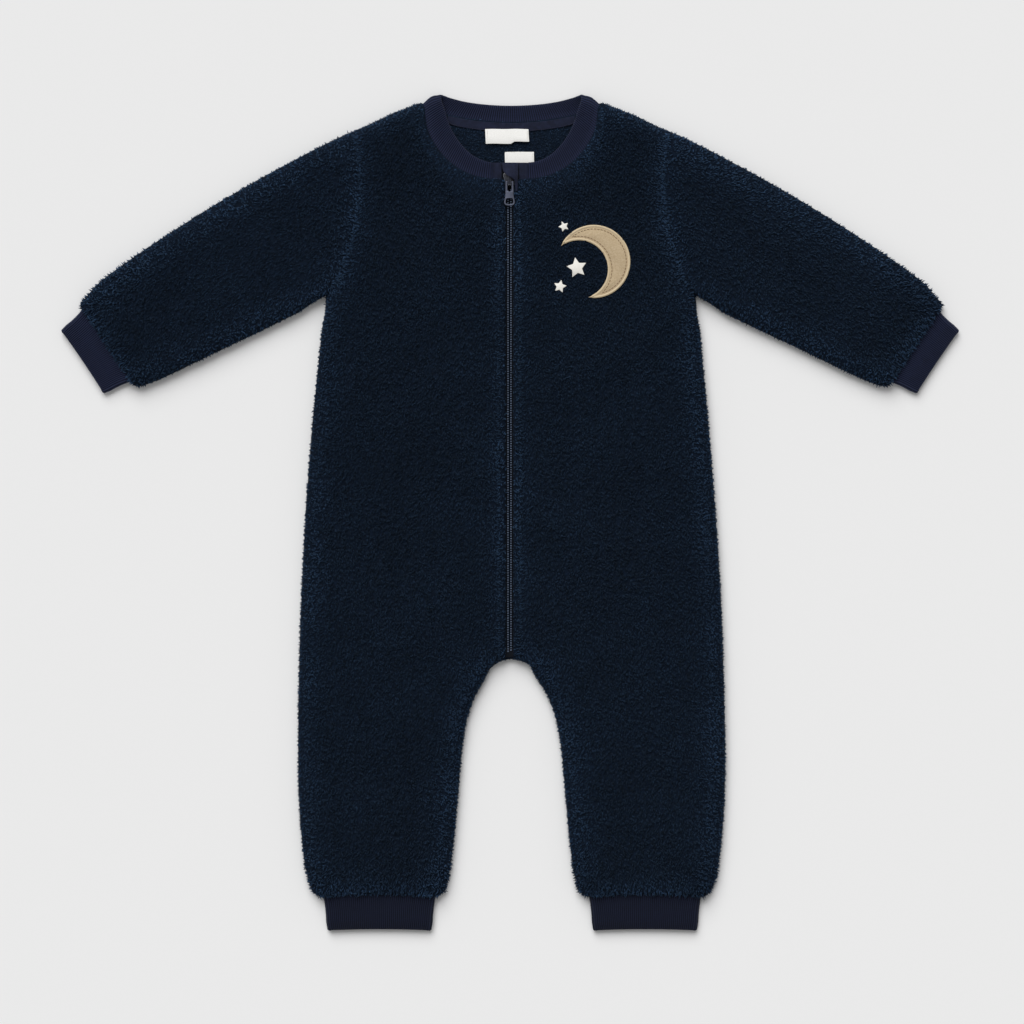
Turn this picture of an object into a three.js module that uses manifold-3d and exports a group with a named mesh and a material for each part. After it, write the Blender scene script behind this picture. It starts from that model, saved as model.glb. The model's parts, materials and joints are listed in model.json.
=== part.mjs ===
// A baby's sleep suit in pile fleece with a front zip, lying flat on its back.
// Millimetres. +X runs to the wearer's left, +Y towards the neck, +Z up from the
// surface it lies on. Each mesh is one piece that a maker would cut and sew on.

import * as THREE from 'three';
import Module from 'manifold-3d';
import { mergeVertices } from 'three/addons/utils/BufferGeometryUtils.js';

const wasm = await Module();
wasm.setup();

// Driving dimensions
const fleeceWall = 3;
const ribWall = 2;
const seamGap = 0.3;
const curvedSeamGap = 0.8; // where both sides of a seam are chords of a curve
const armholeGap = 1.3; // the same, at the armhole's tighter curve
const frontTop = 9.5; // top of the front cloth above the surface
const sideSeamHeight = 4.6; // where front and back are joined all round
const rollWidth = 7; // how far in from its edge the cloth has rolled flat
const hemReach = 18; // length over which a hem draws in to its cuff
const hemDraw = 0.25; // share of the height lost at the hem
const hemRoll = 0.4; // share of the rolled edge's width lost at the hem
const zipX = -1.4; // the zip runs a little to the wearer's right
const zipOpening = 4; // from the zip's centre to each front's edge

// Edges of the cloth on the wearer's left, lying flat
const sideLine = [
  { x: 151.5, y: -306.5 },
  { x: 157.6, y: -301 },
  { x: 161.2, y: -292 },
  { x: 164.3, y: -274.5 },
  { x: 167.9, y: -227 },
  { x: 168.3, y: -179 },
  { x: 166.3, y: -86 },
  { x: 161.1, y: 10 },
  { x: 154.5, y: 90 },
  { x: 148.6, y: 150 },
  { x: 147.5, y: 175 },
];
const inseamLine = [
  { x: 61.5, y: -306.5 },
  { x: 55.9, y: -301.5 },
  { x: 52.9, y: -293.5 },
  { x: 49.7, y: -274.5 },
  { x: 46.1, y: -236 },
  { x: 42.1, y: -187.5 },
  { x: 39.6, y: -168 },
  { x: 32.6, y: -147.6 },
  { x: 23.2, y: -131.4 },
  { x: 15, y: -121.2 },
];
const crotchLine = [
  { x: 15, y: -121.2 },
  { x: 7.5, y: -117.8 },
  { x: 0, y: -116.1 },
];
const armholeLine = [
  { x: 147.5, y: 175 },
  { x: 142, y: 186 },
  { x: 131, y: 205 },
  { x: 126, y: 222 },
  { x: 123.5, y: 235 },
  { x: 121.5, y: 262 },
  { x: 122, y: 278 },
  { x: 125.6, y: 303.7 },
];
const sleeveTopLine = [
  { x: 125.6, y: 303.7 },
  { x: 154, y: 290.7 },
  { x: 188.8, y: 271.8 },
  { x: 229.8, y: 247.8 },
  { x: 280.7, y: 215.9 },
  { x: 320, y: 188.6 },
  { x: 333.6, y: 177.6 },
  { x: 340.3, y: 165.4 },
];
const sleeveUnderLine = [
  { x: 147.5, y: 175 },
  { x: 184, y: 156.2 },
  { x: 216.1, y: 140.2 },
  { x: 249.1, y: 124.2 },
  { x: 279.5, y: 109.5 },
  { x: 292, y: 104.6 },
  { x: 300.5, y: 105.4 },
];

// The neckband from its front end round the shoulder fold to the centre back:
// its seam, its free edge and the height of its middle layer
const neckbandStations = [
  { seamX: 24, seamY: 268.2, freeX: 21.5, freeY: 281.8, z: 8 },
  { seamX: 36.5, seamY: 271.9, freeX: 31, freeY: 286.4, z: 8 },
  { seamX: 48.5, seamY: 279.5, freeX: 40, freeY: 295, z: 8 },
  { seamX: 58.5, seamY: 290, freeX: 46.8, freeY: 305, z: 8 },
  { seamX: 65.5, seamY: 302, freeX: 51, freeY: 315, z: 8 },
  { seamX: 69.3, seamY: 314, freeX: 53.6, freeY: 324.5, z: 7.8 },
  { seamX: 70.8, seamY: 322.5, freeX: 55.6, freeY: 331.5, z: 6.9 },
  { seamX: 71.6, seamY: 325.4, freeX: 57.2, freeY: 333.6, z: 4.6 },
  { seamX: 69.6, seamY: 324.6, freeX: 55.6, freeY: 333, z: 2 },
  { seamX: 62, seamY: 322.3, freeX: 50, freeY: 332.4, z: 1.2 },
  { seamX: 45, seamY: 318, freeX: 37, freeY: 330, z: 1.2 },
  { seamX: 24, seamY: 314.6, freeX: 20, freeY: 327.2, z: 1.2 },
];
const neckbandBack = { seamX: 0, seamY: 313.2, freeX: 0, freeY: 326, z: 1.2 };
const neckbandFrontY = { seam: 267, free: 280.4 };
const neckbandEnds = { left: 13.2, right: 15.5 };

// Rows of a body panel, hem upwards: height on its inner edge and on its side
const legRows = [
  { inseam: -306.5, side: -306.5 },
  { inseam: -301.5, side: -301 },
  { inseam: -293.5, side: -292 },
  { inseam: -274.5, side: -272 },
  { inseam: -245, side: -243 },
  { inseam: -210, side: -210 },
  { inseam: -182, side: -182 },
  { inseam: -160, side: -158 },
  { inseam: -145, side: -136 },
  { inseam: -132, side: -115 },
];
const crotchRows = [
  { lift: 0, side: -96 },
  { lift: 0.9, side: -88 },
  { lift: 2.8, side: -78 },
  { lift: 7, side: -64 },
];
const bodyRows = [
  { centre: -86, side: -40 },
  { centre: -52, side: -12 },
  { centre: -8, side: 26 },
  { centre: 38, side: 64 },
  { centre: 84, side: 98 },
  { centre: 126, side: 130 },
  { centre: 156, side: 155 },
  { centre: 180, side: 175 },
];
const frontTopRows = [
  { centre: 204, armhole: 195 },
  { centre: 228, armhole: 218 },
  { neck: 0, armhole: 242 },
  { neck: 0.16, armhole: 258 },
  { neck: 0.34, armhole: 271 },
  { neck: 0.54, armhole: 282 },
  { neck: 0.74, armhole: 291 },
  { neck: 0.9, armhole: 297.5 },
  { neck: 0.97, armhole: 301.6 },
  { neck: 1, armhole: 303.7 },
];
const backTopRows = [
  { centre: 208, armhole: 198 },
  { centre: 240, armhole: 224 },
  { centre: 275, armhole: 254 },
  { neck: 0, armhole: 279 },
  { neck: 0.32, armhole: 288 },
  { neck: 0.62, armhole: 294 },
  { neck: 0.86, armhole: 298.2 },
  { neck: 0.96, armhole: 301.6 },
  { neck: 1, armhole: 303.7 },
];

// Broad soft folds on the upper layer: centre, direction, reach and height
const softFolds = [
  { x: 120, y: 150, angle: 38, length: 70, width: 17, height: 1.1 },
  { x: -118, y: 146, angle: 145, length: 64, width: 18, height: 1 },
  { x: 96, y: -20, angle: 78, length: 120, width: 26, height: 0.7 },
  { x: -84, y: 40, angle: 100, length: 130, width: 28, height: 0.8 },
  { x: 110, y: -228, angle: 96, length: 90, width: 22, height: 0.8 },
  { x: -104, y: -205, angle: 83, length: 100, width: 24, height: 0.9 },
  { x: 214, y: 206, angle: -33, length: 95, width: 15, height: 0.9 },
  { x: -226, y: 196, angle: 208, length: 88, width: 16, height: 0.8 },
];

const colours = {
  fleece: 0x16263a,
  rib: 0x1d2338,
  jersey: 0x1f2a40,
  tape: 0x141b2a,
  coil: 0x2c3546,
  metal: 0x6d7284,
  label: 0xeceae6,
  felt: 0xb39d7a,
  thread: 0xf2efe8,
};
const roughness = { cloth: 0.95, coil: 0.5, metal: 0.35 };

const garment = new THREE.Group();
const up = new THREE.Vector3(0, 0, 1);

function addMesh(name, geometry, colour, rough = roughness.cloth, metalness = 0) {
  const material = new THREE.MeshStandardMaterial({ color: colour, roughness: rough, metalness });
  const mesh = new THREE.Mesh(geometry, material);
  mesh.name = name;
  garment.add(mesh);
  return mesh;
}

// ---- Lines on the flat garment ----

function curveThrough(table) {
  const points = table.map((p) => new THREE.Vector3(p.x, p.y, 0));
  return new THREE.CatmullRomCurve3(points, false, 'centripetal');
}

// The point of a line at a given height; the line rises or falls all along
function pointAtHeight(curve, y) {
  let low = 0;
  let high = 1;
  const rising = curve.getPoint(1).y > curve.getPoint(0).y;
  for (let step = 0; step < 40; step += 1) {
    const middle = (low + high) / 2;
    const below = curve.getPoint(middle).y < y;
    if (below === rising) {
      low = middle;
    } else {
      high = middle;
    }
  }
  const at = (low + high) / 2;
  const tangent = curve.getTangent(Math.min(Math.max(at, 0.001), 0.999));
  return { point: curve.getPoint(at), tangent };
}

const curves = {
  side: curveThrough(sideLine),
  inseam: curveThrough(inseamLine),
  crotch: curveThrough(crotchLine),
  armhole: curveThrough(armholeLine),
  sleeveTop: curveThrough(sleeveTopLine),
  sleeveUnder: curveThrough(sleeveUnderLine),
};

const neckCorner = { x: neckbandStations[7].seamX + 1.3, y: neckbandStations[7].seamY - 1 };
const shoulderPoint = armholeLine[armholeLine.length - 1];
curves.shoulder = curveThrough([neckCorner, shoulderPoint]);

// Edges where front and back are joined, as fine chains of points
const lineSteps = 120;
const joinedEdges = ['side', 'inseam', 'crotch', 'sleeveTop', 'sleeveUnder', 'shoulder'].map(
  (name) => curves[name].getPoints(lineSteps),
);

function distanceToJoinedEdge(x, y) {
  const point = new THREE.Vector3(Math.abs(x), y, 0);
  const nearest = new THREE.Vector3();
  const stretch = new THREE.Line3();
  let distance = Infinity;
  for (const chain of joinedEdges) {
    for (let i = 1; i < chain.length; i += 1) {
      stretch.set(chain[i - 1], chain[i]);
      stretch.closestPointToPoint(point, true, nearest);
      distance = Math.min(distance, nearest.distanceTo(point));
    }
  }
  return distance;
}

// ---- Heights of the cloth ----

const sleeveHem = {
  top: new THREE.Vector3(340.3, 165.4, 0),
  under: new THREE.Vector3(300.5, 105.4, 0),
};
sleeveHem.centre = sleeveHem.top.clone().add(sleeveHem.under).multiplyScalar(0.5);
sleeveHem.along = sleeveHem.top.clone().sub(sleeveHem.under).normalize().cross(up);
const legHemY = legRows[0].inseam;

function hemShare(x, y) {
  const toLegHem = y - legHemY;
  const fromSleeveHem = sleeveHem.centre.clone().sub(new THREE.Vector3(Math.abs(x), y, 0));
  const toSleeveHem = Math.abs(x) > 200 ? fromSleeveHem.dot(sleeveHem.along) : Infinity;
  const distance = Math.min(toLegHem, toSleeveHem);
  return 1 - THREE.MathUtils.smoothstep(distance, 0, hemReach);
}

function foldHeight(x, y) {
  let height = 0;
  for (const fold of softFolds) {
    const angle = THREE.MathUtils.degToRad(fold.angle);
    const along = (x - fold.x) * Math.cos(angle) + (y - fold.y) * Math.sin(angle);
    const across = (y - fold.y) * Math.cos(angle) - (x - fold.x) * Math.sin(angle);
    const reach = (along / fold.length) ** 2 + (across / fold.width) ** 2;
    height += fold.height * Math.exp(-2 * reach);
  }
  return height;
}

// From 0 on a joined edge to 1 where the cloth lies level
function rolled(x, y) {
  const width = rollWidth * (1 - hemRoll * hemShare(x, y));
  const inwards = 1 - Math.min(distanceToJoinedEdge(x, y) / width, 1);
  return Math.sqrt(1 - inwards * inwards);
}

function frontHeight(x, y, seamHeight) {
  const rise = rolled(x, y);
  const full = (frontTop - seamHeight) * (1 - hemDraw * hemShare(x, y));
  return seamHeight + rise * (full + foldHeight(x, y) * rise);
}

function backHeight(x, y, seamHeight) {
  return seamHeight * (1 - rolled(x, y));
}

// ---- Closed walls of cloth from a grid of points ----

// grid[row][column] holds points, or null where there is no cloth. A point used
// twice joins the cells around it. The wall reaches from lower to upper along each
// point's normal; "closed" joins the last column to the first, and no cell spans
// the gap that starts at splitColumn. Open rims end square to their own edge.
function wallFromGrid(grid, lower, upper, { closed = false, splitColumn = -1 } = {}) {
  const columns = grid[0].length;
  const lastColumn = closed ? columns : columns - 1;
  const points = [];
  const idOf = new Map();
  for (const point of grid.flat()) {
    if (point && !idOf.has(point)) {
      idOf.set(point, points.length);
      points.push(point);
    }
  }
  const cells = [];
  for (let row = 0; row < grid.length - 1; row += 1) {
    for (let column = 0; column < lastColumn; column += 1) {
      const next = (column + 1) % columns;
      const corners = [grid[row][column], grid[row][next], grid[row + 1][next], grid[row + 1][column]];
      if (column !== splitColumn && corners.every(Boolean)) {
        cells.push(corners.map((point) => idOf.get(point)));
      }
    }
  }

  // Point normals, weighted by the size of the cells around them
  const normals = points.map(() => new THREE.Vector3());
  const edges = new Set();
  for (const cell of cells) {
    const [a, b, c, d] = cell.map((id) => points[id]);
    const normal = c.clone().sub(a).cross(d.clone().sub(b));
    for (let i = 0; i < 4; i += 1) {
      normals[cell[i]].add(normal);
      edges.add(`${cell[i]},${cell[(i + 1) % 4]}`);
    }
  }
  const rims = [...edges].map((edge) => edge.split(',').map(Number));
  const openRims = rims.filter(([from, to]) => !edges.has(`${to},${from}`));
  const rimNext = new Map(openRims);
  const rimPrevious = new Map(openRims.map(([from, to]) => [to, from]));

  // On a rim the wall keeps to the plane of its end face
  for (const [id, normal] of normals.entries()) {
    normal.normalize();
    if (!rimNext.has(id)) continue;
    const here = points[id];
    const ahead = points[rimNext.get(id)];
    const behind = points[rimPrevious.get(id)];
    const ways = [ahead.clone().sub(here).normalize(), here.clone().sub(behind).normalize()];
    const isCorner = ways[0].dot(ways[1]) < 0.75;
    const flatNormal = normal.clone();
    if (isJoined(here) && (isJoined(ahead) || isJoined(behind))) {
      flatNormal.z = 0;
    }
    for (const [index, neighbour] of [ahead, behind].entries()) {
      const alongSeam = isJoined(here) && isJoined(neighbour);
      if (!alongSeam && (isCorner || index === 0)) {
        const outwards = ways[index].setZ(0).normalize().cross(up);
        flatNormal.addScaledVector(outwards, -flatNormal.dot(outwards));
      }
    }
    if (flatNormal.length() > 0.2) normal.copy(flatNormal.normalize());
  }

  const offsetPoints = (offset) => points.map((point, id) => (
    point.clone().addScaledVector(normals[id], offset).toArray()
  ));
  const positions = [...offsetPoints(upper), ...offsetPoints(lower)].flat();
  const under = points.length;
  const triangles = [];
  for (const [a, b, c, d] of cells) {
    triangles.push(a, b, c, a, c, d);
    triangles.push(a + under, c + under, b + under, a + under, d + under, c + under);
  }
  for (const [a, b] of openRims) {
    triangles.push(a, a + under, b + under, a, b + under, b);
  }
  return solidFrom(positions, triangles);
}

// True for a point on an edge that joins front to back
function isJoined(point) {
  return distanceToJoinedEdge(point.x, point.y) < 0.45;
}

function signedVolume(positions, triangles) {
  const corner = (index) => new THREE.Vector3().fromArray(positions, index * 3);
  let volume = 0;
  for (let i = 0; i < triangles.length; i += 3) {
    const [a, b, c] = [0, 1, 2].map((k) => corner(triangles[i + k]));
    volume += a.dot(b.cross(c)) / 6;
  }
  return volume;
}

function solidFrom(positions, triangles) {
  const outward = signedVolume(positions, triangles) > 0;
  const faces = outward ? triangles : triangles.slice().reverse();
  const geometry = new THREE.BufferGeometry();
  geometry.setAttribute('position', new THREE.Float32BufferAttribute(positions, 3));
  geometry.setIndex(faces);
  return geometry;
}

function mirrored(geometry) {
  const copy = geometry.clone();
  copy.scale(-1, 1, 1);
  copy.setIndex([...copy.index.array].reverse());
  return copy;
}

// ---- Body panels ----

const edgeSteps = [0, 0.66, 2.5, 7]; // spacing of the columns in a rolled edge
const relaxedShares = [0, 0.05, 0.12, 0.22]; // their share of the width higher up
const middleColumns = 3;

// One row's points from its split line out to the side
function rowFromSplit(split, splitDirection, end, endDirection, relax) {
  const width = split.distanceTo(end);
  const inner = edgeSteps.map((step, i) => {
    const distance = THREE.MathUtils.lerp(step, relaxedShares[i] * width, relax);
    return split.clone().addScaledVector(splitDirection, distance);
  });
  const outer = edgeSteps.map((step) => end.clone().addScaledVector(endDirection, step)).reverse();
  const middle = [];
  for (let i = 1; i < middleColumns; i += 1) {
    middle.push(inner[3].clone().lerp(outer[0], i / middleColumns));
  }
  return [...inner, ...middle, ...outer];
}

function directions(split, end, splitTangent, endTangent) {
  const row = end.clone().sub(split).normalize();
  const intoFromSplit = splitTangent ? splitTangent.clone().cross(up).normalize() : row;
  const intoFromEnd = endTangent ? up.clone().cross(endTangent).normalize() : row.clone().negate();
  return {
    row,
    atSplit: intoFromSplit.clone().add(row).normalize(),
    atEnd: intoFromEnd.clone().sub(row).normalize(),
  };
}

// Rows of points for half a panel, from its inner edge at innerX out to the side
function panelRows(innerX, neckCurve, topRows) {
  const rows = [];

  for (const [index, { inseam, side }] of legRows.entries()) {
    const inner = pointAtHeight(curves.inseam, inseam);
    const outer = pointAtHeight(curves.side, side);
    const square = index === 0;
    const splitTangent = square ? null : inner.tangent;
    const endTangent = square ? null : outer.tangent;
    const way = directions(inner.point, outer.point, splitTangent, endTangent);
    const points = rowFromSplit(inner.point, way.atSplit, outer.point, way.atEnd, 0);
    rows.push([null, null, ...points]);
  }

  const corner = curves.crotch.getPoint(0);
  for (const { lift, side } of crotchRows) {
    const raise = new THREE.Vector3(0, lift, 0);
    const innerEnd = pointOnCrotch(innerX);
    const split = corner.clone().add(raise);
    const between = pointOnCrotch((innerX + corner.x) / 2);
    const outer = pointAtHeight(curves.side, side);
    const way = directions(split, outer.point, null, outer.tangent);
    const points = rowFromSplit(split, way.atSplit, outer.point, way.atEnd, 0);
    rows.push([innerEnd.add(raise), between.add(raise), ...points]);
  }

  for (const [index, row] of [...bodyRows, ...topRows].entries()) {
    const onArmhole = row.armhole !== undefined;
    const onNeck = row.neck !== undefined;
    const outer = pointAtHeight(onArmhole ? curves.armhole : curves.side, onArmhole ? row.armhole : row.side);
    const end = outer.point;
    const start = onNeck ? neckCurve.getPointAt(row.neck) : new THREE.Vector3(innerX, row.centre, 0);
    const direction = end.clone().sub(start).normalize();
    if (onArmhole) {
      end.addScaledVector(direction, -armholeGap);
    }
    const relax = Math.min(1, (index + 1) / 3);
    const splitDistance = Math.min(0.24 * start.distanceTo(end), THREE.MathUtils.lerp(corner.x, 24, relax));
    const split = start.clone().addScaledVector(direction, splitDistance);
    const way = directions(split, end, null, onArmhole ? null : outer.tangent);
    const points = rowFromSplit(split, way.row, end, way.atEnd, relax);
    rows.push([start, start.clone().lerp(split, 0.5), ...points]);
  }
  return rows;
}

function pointOnCrotch(x) {
  const chain = curves.crotch.getPoints(lineSteps);
  return chain.reduce((best, p) => (Math.abs(p.x - x) < Math.abs(best.x - x) ? p : best)).clone().setX(x);
}

function withHeights(rows, height) {
  const points = new Set(rows.flat().filter(Boolean));
  for (const point of points) {
    point.z = height(point.x, point.y);
  }
  return rows;
}

const frontNeck = (end) => [
  { x: end, y: neckbandFrontY.seam - curvedSeamGap },
  { x: neckbandEnds.right, y: neckbandFrontY.seam - curvedSeamGap },
  ...neckbandStations.slice(0, 7).map((s) => ({ x: s.seamX + curvedSeamGap, y: s.seamY - curvedSeamGap })),
  neckCorner,
];
const backNeckCurve = curveThrough([
  { x: 0, y: neckbandBack.seamY - curvedSeamGap },
  ...neckbandStations.slice(9).reverse().map((s) => ({ x: s.seamX, y: s.seamY - curvedSeamGap })),
  neckCorner,
]);

function frontPanel(innerX, sideSign) {
  const rows = panelRows(innerX, curveThrough(frontNeck(innerX)), frontTopRows);
  const seam = sideSeamHeight + seamGap / 2;
  const height = (x, y) => frontHeight(x * sideSign, y, seam);
  const geometry = wallFromGrid(withHeights(rows, height), -fleeceWall, 0);
  return sideSign > 0 ? geometry : mirrored(geometry);
}

function backPanel() {
  const half = panelRows(0, backNeckCurve, backTopRows);
  const mirrorPoint = (p) => (p && p.x !== 0 ? p.clone().setX(-p.x) : p);
  const rows = half.map((row) => [...row.map(mirrorPoint).reverse(), ...row]);
  const seam = sideSeamHeight - seamGap / 2;
  const grid = withHeights(rows, (x, y) => backHeight(x, y, seam));
  return wallFromGrid(grid, 0, fleeceWall, { splitColumn: half[0].length - 1 });
}

addMesh('back_panel', backPanel(), colours.fleece);
addMesh('front_left_panel', frontPanel(zipX + zipOpening, 1), colours.fleece);
addMesh('front_right_panel', frontPanel(zipOpening - zipX, -1), colours.fleece);

// ---- Sleeves ----

const sleeveStations = [0, 0.12, 0.28, 0.45, 0.62, 0.77, 0.88, 0.94, 0.975, 1];

const sleeveMiddleColumns = 4;

function sleeve(sideSign) {
  const shift = new THREE.Vector3(seamGap / 2, 0, 0);
  const topStart = curves.sleeveTop.getPointAt(0).add(shift);
  const underStart = curves.sleeveUnder.getPointAt(0).add(shift);
  const hemLine = new THREE.LineCurve3(sleeveHem.top, sleeveHem.under);
  const armhole = (v) => curves.armhole.getPointAt(1 - v).add(shift);

  const place = (s, v) => {
    const top = curves.sleeveTop.getPointAt(s).addScaledVector(shift, 1 - s);
    const below = curves.sleeveUnder.getPointAt(s).addScaledVector(shift, 1 - s);
    const straightStart = topStart.clone().lerp(underStart, v);
    const straightEnd = sleeveHem.top.clone().lerp(sleeveHem.under, v);
    return top.lerp(below, v)
      .addScaledVector(armhole(v).sub(straightStart), 1 - s)
      .addScaledVector(hemLine.getPoint(v).sub(straightEnd), s);
  };

  const rings = sleeveStations.map((s) => {
    const width = place(s, 0).distanceTo(place(s, 1));
    const fromTop = edgeSteps.map((step) => step / width);
    const shares = [...fromTop];
    for (let i = 1; i < sleeveMiddleColumns; i += 1) {
      shares.push(THREE.MathUtils.lerp(fromTop[3], 1 - fromTop[3], i / sleeveMiddleColumns));
    }
    shares.push(...fromTop.map((share) => 1 - share).reverse());
    const flat = shares.map((share) => place(s, share));
    const front = flat.map((p) => p.clone().setZ(frontHeight(p.x * sideSign, p.y, sideSeamHeight)));
    const back = flat.slice(1, -1).reverse();
    back.forEach((p) => p.setZ(backHeight(p.x, p.y, sideSeamHeight)));
    return [...front, ...back];
  });
  const geometry = wallFromGrid(rings, -fleeceWall, 0, { closed: true });
  return sideSign > 0 ? geometry : mirrored(geometry);
}

addMesh('sleeve_left', sleeve(1), colours.fleece);
addMesh('sleeve_right', sleeve(-1), colours.fleece);

// ---- Rib cuffs: flattened tubes ----

const handCuff = {
  along: new THREE.Vector3(0.829, -0.561, 0).normalize(),
  start: sleeveHem.centre,
  stations: [
    { at: curvedSeamGap, halfWidth: 35.6, height: 7.2 },
    { at: 6, halfWidth: 34.6, height: 6 },
    { at: 16, halfWidth: 32.2, height: 5.2 },
    { at: 25.1, halfWidth: 30.6, height: 5 },
  ],
};
const legCuff = {
  along: new THREE.Vector3(0, -1, 0),
  start: new THREE.Vector3(106.5, legHemY, 0),
  stations: [
    { at: seamGap, halfWidth: 45, height: 7.2 },
    { at: 6, halfWidth: 44.6, height: 6 },
    { at: 17, halfWidth: 42.6, height: 5.2 },
    { at: 28.1, halfWidth: 41.2, height: 5 },
  ],
};
const cuffEdgeAngles = [0, 30, 60, 90];

function cuff({ along, start, stations }) {
  const across = up.clone().cross(along);
  const rings = stations.map(({ at, halfWidth, height }) => {
    const centre = start.clone().addScaledVector(along, at);
    const edge = cuffEdgeAngles.map((degrees) => {
      const angle = THREE.MathUtils.degToRad(degrees);
      return { in: height * 0.7 * (1 - Math.cos(angle)), rise: Math.sin(angle) };
    });
    const front = edge.map(({ in: inset, rise }) => ({ x: halfWidth - inset, rise }));
    const middle = [0.5, 0, -0.5].map((share) => ({ x: share * front[3].x, rise: 1 }));
    const farEdge = front.map((p) => ({ x: -p.x, rise: p.rise })).reverse();
    const upper = [...front, ...middle, ...farEdge];
    const lower = upper.slice(1, -1).reverse().map((p) => ({ x: p.x, rise: -p.rise }));
    return [...upper, ...lower].map(({ x, rise }) => {
      const point = centre.clone().addScaledVector(across, x);
      return point.setZ(height / 2 * (1 + rise));
    });
  });
  return wallFromGrid(rings, -ribWall, 0, { closed: true });
}

for (const [name, shape] of [['cuff', handCuff], ['leg_cuff', legCuff]]) {
  addMesh(`${name}_left`, cuff(shape), colours.rib);
  addMesh(`${name}_right`, mirrored(cuff(shape)), colours.rib);
}

// ---- Neckband: one ribbon, folded over at each shoulder ----

const bandShares = [0, 0.35, 0.75, 1]; // from the seam to the free edge

function neckband() {
  const end = (x) => ({ seamX: x, seamY: neckbandFrontY.seam, freeX: x, freeY: neckbandFrontY.free, z: 8 });
  const leftHalf = [end(neckbandEnds.left), ...neckbandStations];
  const rightHalf = [end(neckbandEnds.right), ...neckbandStations].reverse();
  const flip = (s) => ({ ...s, seamX: -s.seamX, freeX: -s.freeX });
  const stations = [...leftHalf, neckbandBack, ...rightHalf.map(flip)];
  const grid = bandShares.map((share) => stations.map((s) => new THREE.Vector3(
    THREE.MathUtils.lerp(s.seamX, s.freeX, share),
    THREE.MathUtils.lerp(s.seamY, s.freeY, share),
    s.z,
  )));
  return wallFromGrid(grid, -ribWall / 2, ribWall / 2);
}

addMesh('neckband', neckband(), colours.rib);

// ---- Narrow strips, from rows of left and right ends ----

// rows: { y, left, right, leftY, rightY, z }; the strip's wall stands on z
function strip(rows, wall, shares = [0, 0.5, 1]) {
  const grid = rows.map((row) => shares.map((share) => new THREE.Vector3(
    THREE.MathUtils.lerp(row.left, row.right, share),
    row.y,
    row.z,
  )));
  return wallFromGrid(grid, 0, wall);
}

// Jersey tape over the back neck seam, on the inside of the back
const neckTape = { width: 6.5, wall: 0.8, reach: 51, steps: 12 };

function neckTapeSolid() {
  const grid = [neckTape.width, neckTape.width / 2, 0].map((drop) => {
    const row = [];
    for (let i = 0; i <= neckTape.steps; i += 1) {
      const x = THREE.MathUtils.lerp(-neckTape.reach, neckTape.reach, i / neckTape.steps);
      const chain = backNeckCurve.getPoints(lineSteps);
      const edge = chain.reduce((a, b) => (Math.abs(b.x - Math.abs(x)) < Math.abs(a.x - Math.abs(x)) ? b : a));
      row.push(new THREE.Vector3(x, edge.y - drop, fleeceWall + seamGap));
    }
    return row;
  });
  return wallFromGrid(grid, 0, neckTape.wall);
}

addMesh('neck_tape', neckTapeSolid(), colours.jersey);

const labelWall = 0.5;
const mainLabel = [
  { y: 294.8, left: -20.4, right: 14.4, z: 4.5 },
  { y: 298, left: -20.6, right: 14.2, z: 4.7 },
  { y: 302.5, left: -20.8, right: 14, z: 3.9 },
  { y: 305.5, left: -21, right: 13.8, z: 3.35 },
];
const sizeLabel = [
  { y: 274, left: -5, right: 18.4, z: 4.1 },
  { y: 280, left: -5, right: 18.4, z: 4.3 },
  { y: 286, left: -5.2, right: 18.2, z: 3.9 },
  { y: 289.5, left: -5.2, right: 18.2, z: 3.35 },
];
addMesh('main_label', strip(mainLabel, labelWall, [0, 0.33, 0.66, 1]), colours.label);
addMesh('size_label', strip(sizeLabel, labelWall, [0, 0.5, 1]), colours.label);

// ---- Zip ----

const zip = {
  tapeWall: 0.8,
  tapeZ: 5.4,
  tapeInner: 1.2,
  tapeOuter: 13,
  tapeBottom: -107.5,
  tapeTop: 280.6,
  coilZ: 6.5,
  coilHeight: 2.1,
  coilWidth: 2.05,
  coilGap: 0.15,
  coilBottom: -107.6,
};
// Path of the coil past the slider, which parts it
const coilPath = [
  { y: zip.coilBottom, offset: 0 },
  { y: 261, offset: 0 },
  { y: 266, offset: 0.9 },
  { y: 272, offset: 1.4 },
  { y: 276.5, offset: 1.4 },
];

for (const [name, sign] of [['left', 1], ['right', -1]]) {
  const tape = [zip.tapeBottom, zip.tapeTop].map((y) => ({
    y,
    left: zip.tapeInner,
    right: zip.tapeOuter,
    z: zip.tapeZ,
  }));
  const coil = coilPath.map(({ y, offset }) => ({
    y,
    left: zip.coilGap + offset,
    right: zip.coilGap + offset + zip.coilWidth,
    z: zip.coilZ,
  }));
  const tapeSolid = strip(tape, zip.tapeWall, [0, 1]);
  const coilSolid = strip(coil, zip.coilHeight, [0, 1]);
  const tapeMesh = addMesh(`zip_tape_${name}`, sign > 0 ? tapeSolid : mirrored(tapeSolid), colours.tape);
  const coilMesh = addMesh(
    `zip_coil_${name}`,
    sign > 0 ? coilSolid : mirrored(coilSolid),
    colours.coil,
    roughness.coil,
  );
  tapeMesh.position.x = zipX;
  coilMesh.position.x = zipX;
}

// Cloth tab that finishes the zip at the crotch
const endTab = [
  { y: -115.8, z: 4.8 },
  { y: -115, z: 6.2 },
  { y: -112.8, z: 7.3 },
  { y: -108.2, z: 7.4 },
].map((row) => ({ ...row, left: zipX - 3.65, right: zipX + 3.65 }));
addMesh('zip_end_tab', strip(endTab, 1.2), colours.tape);

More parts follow.
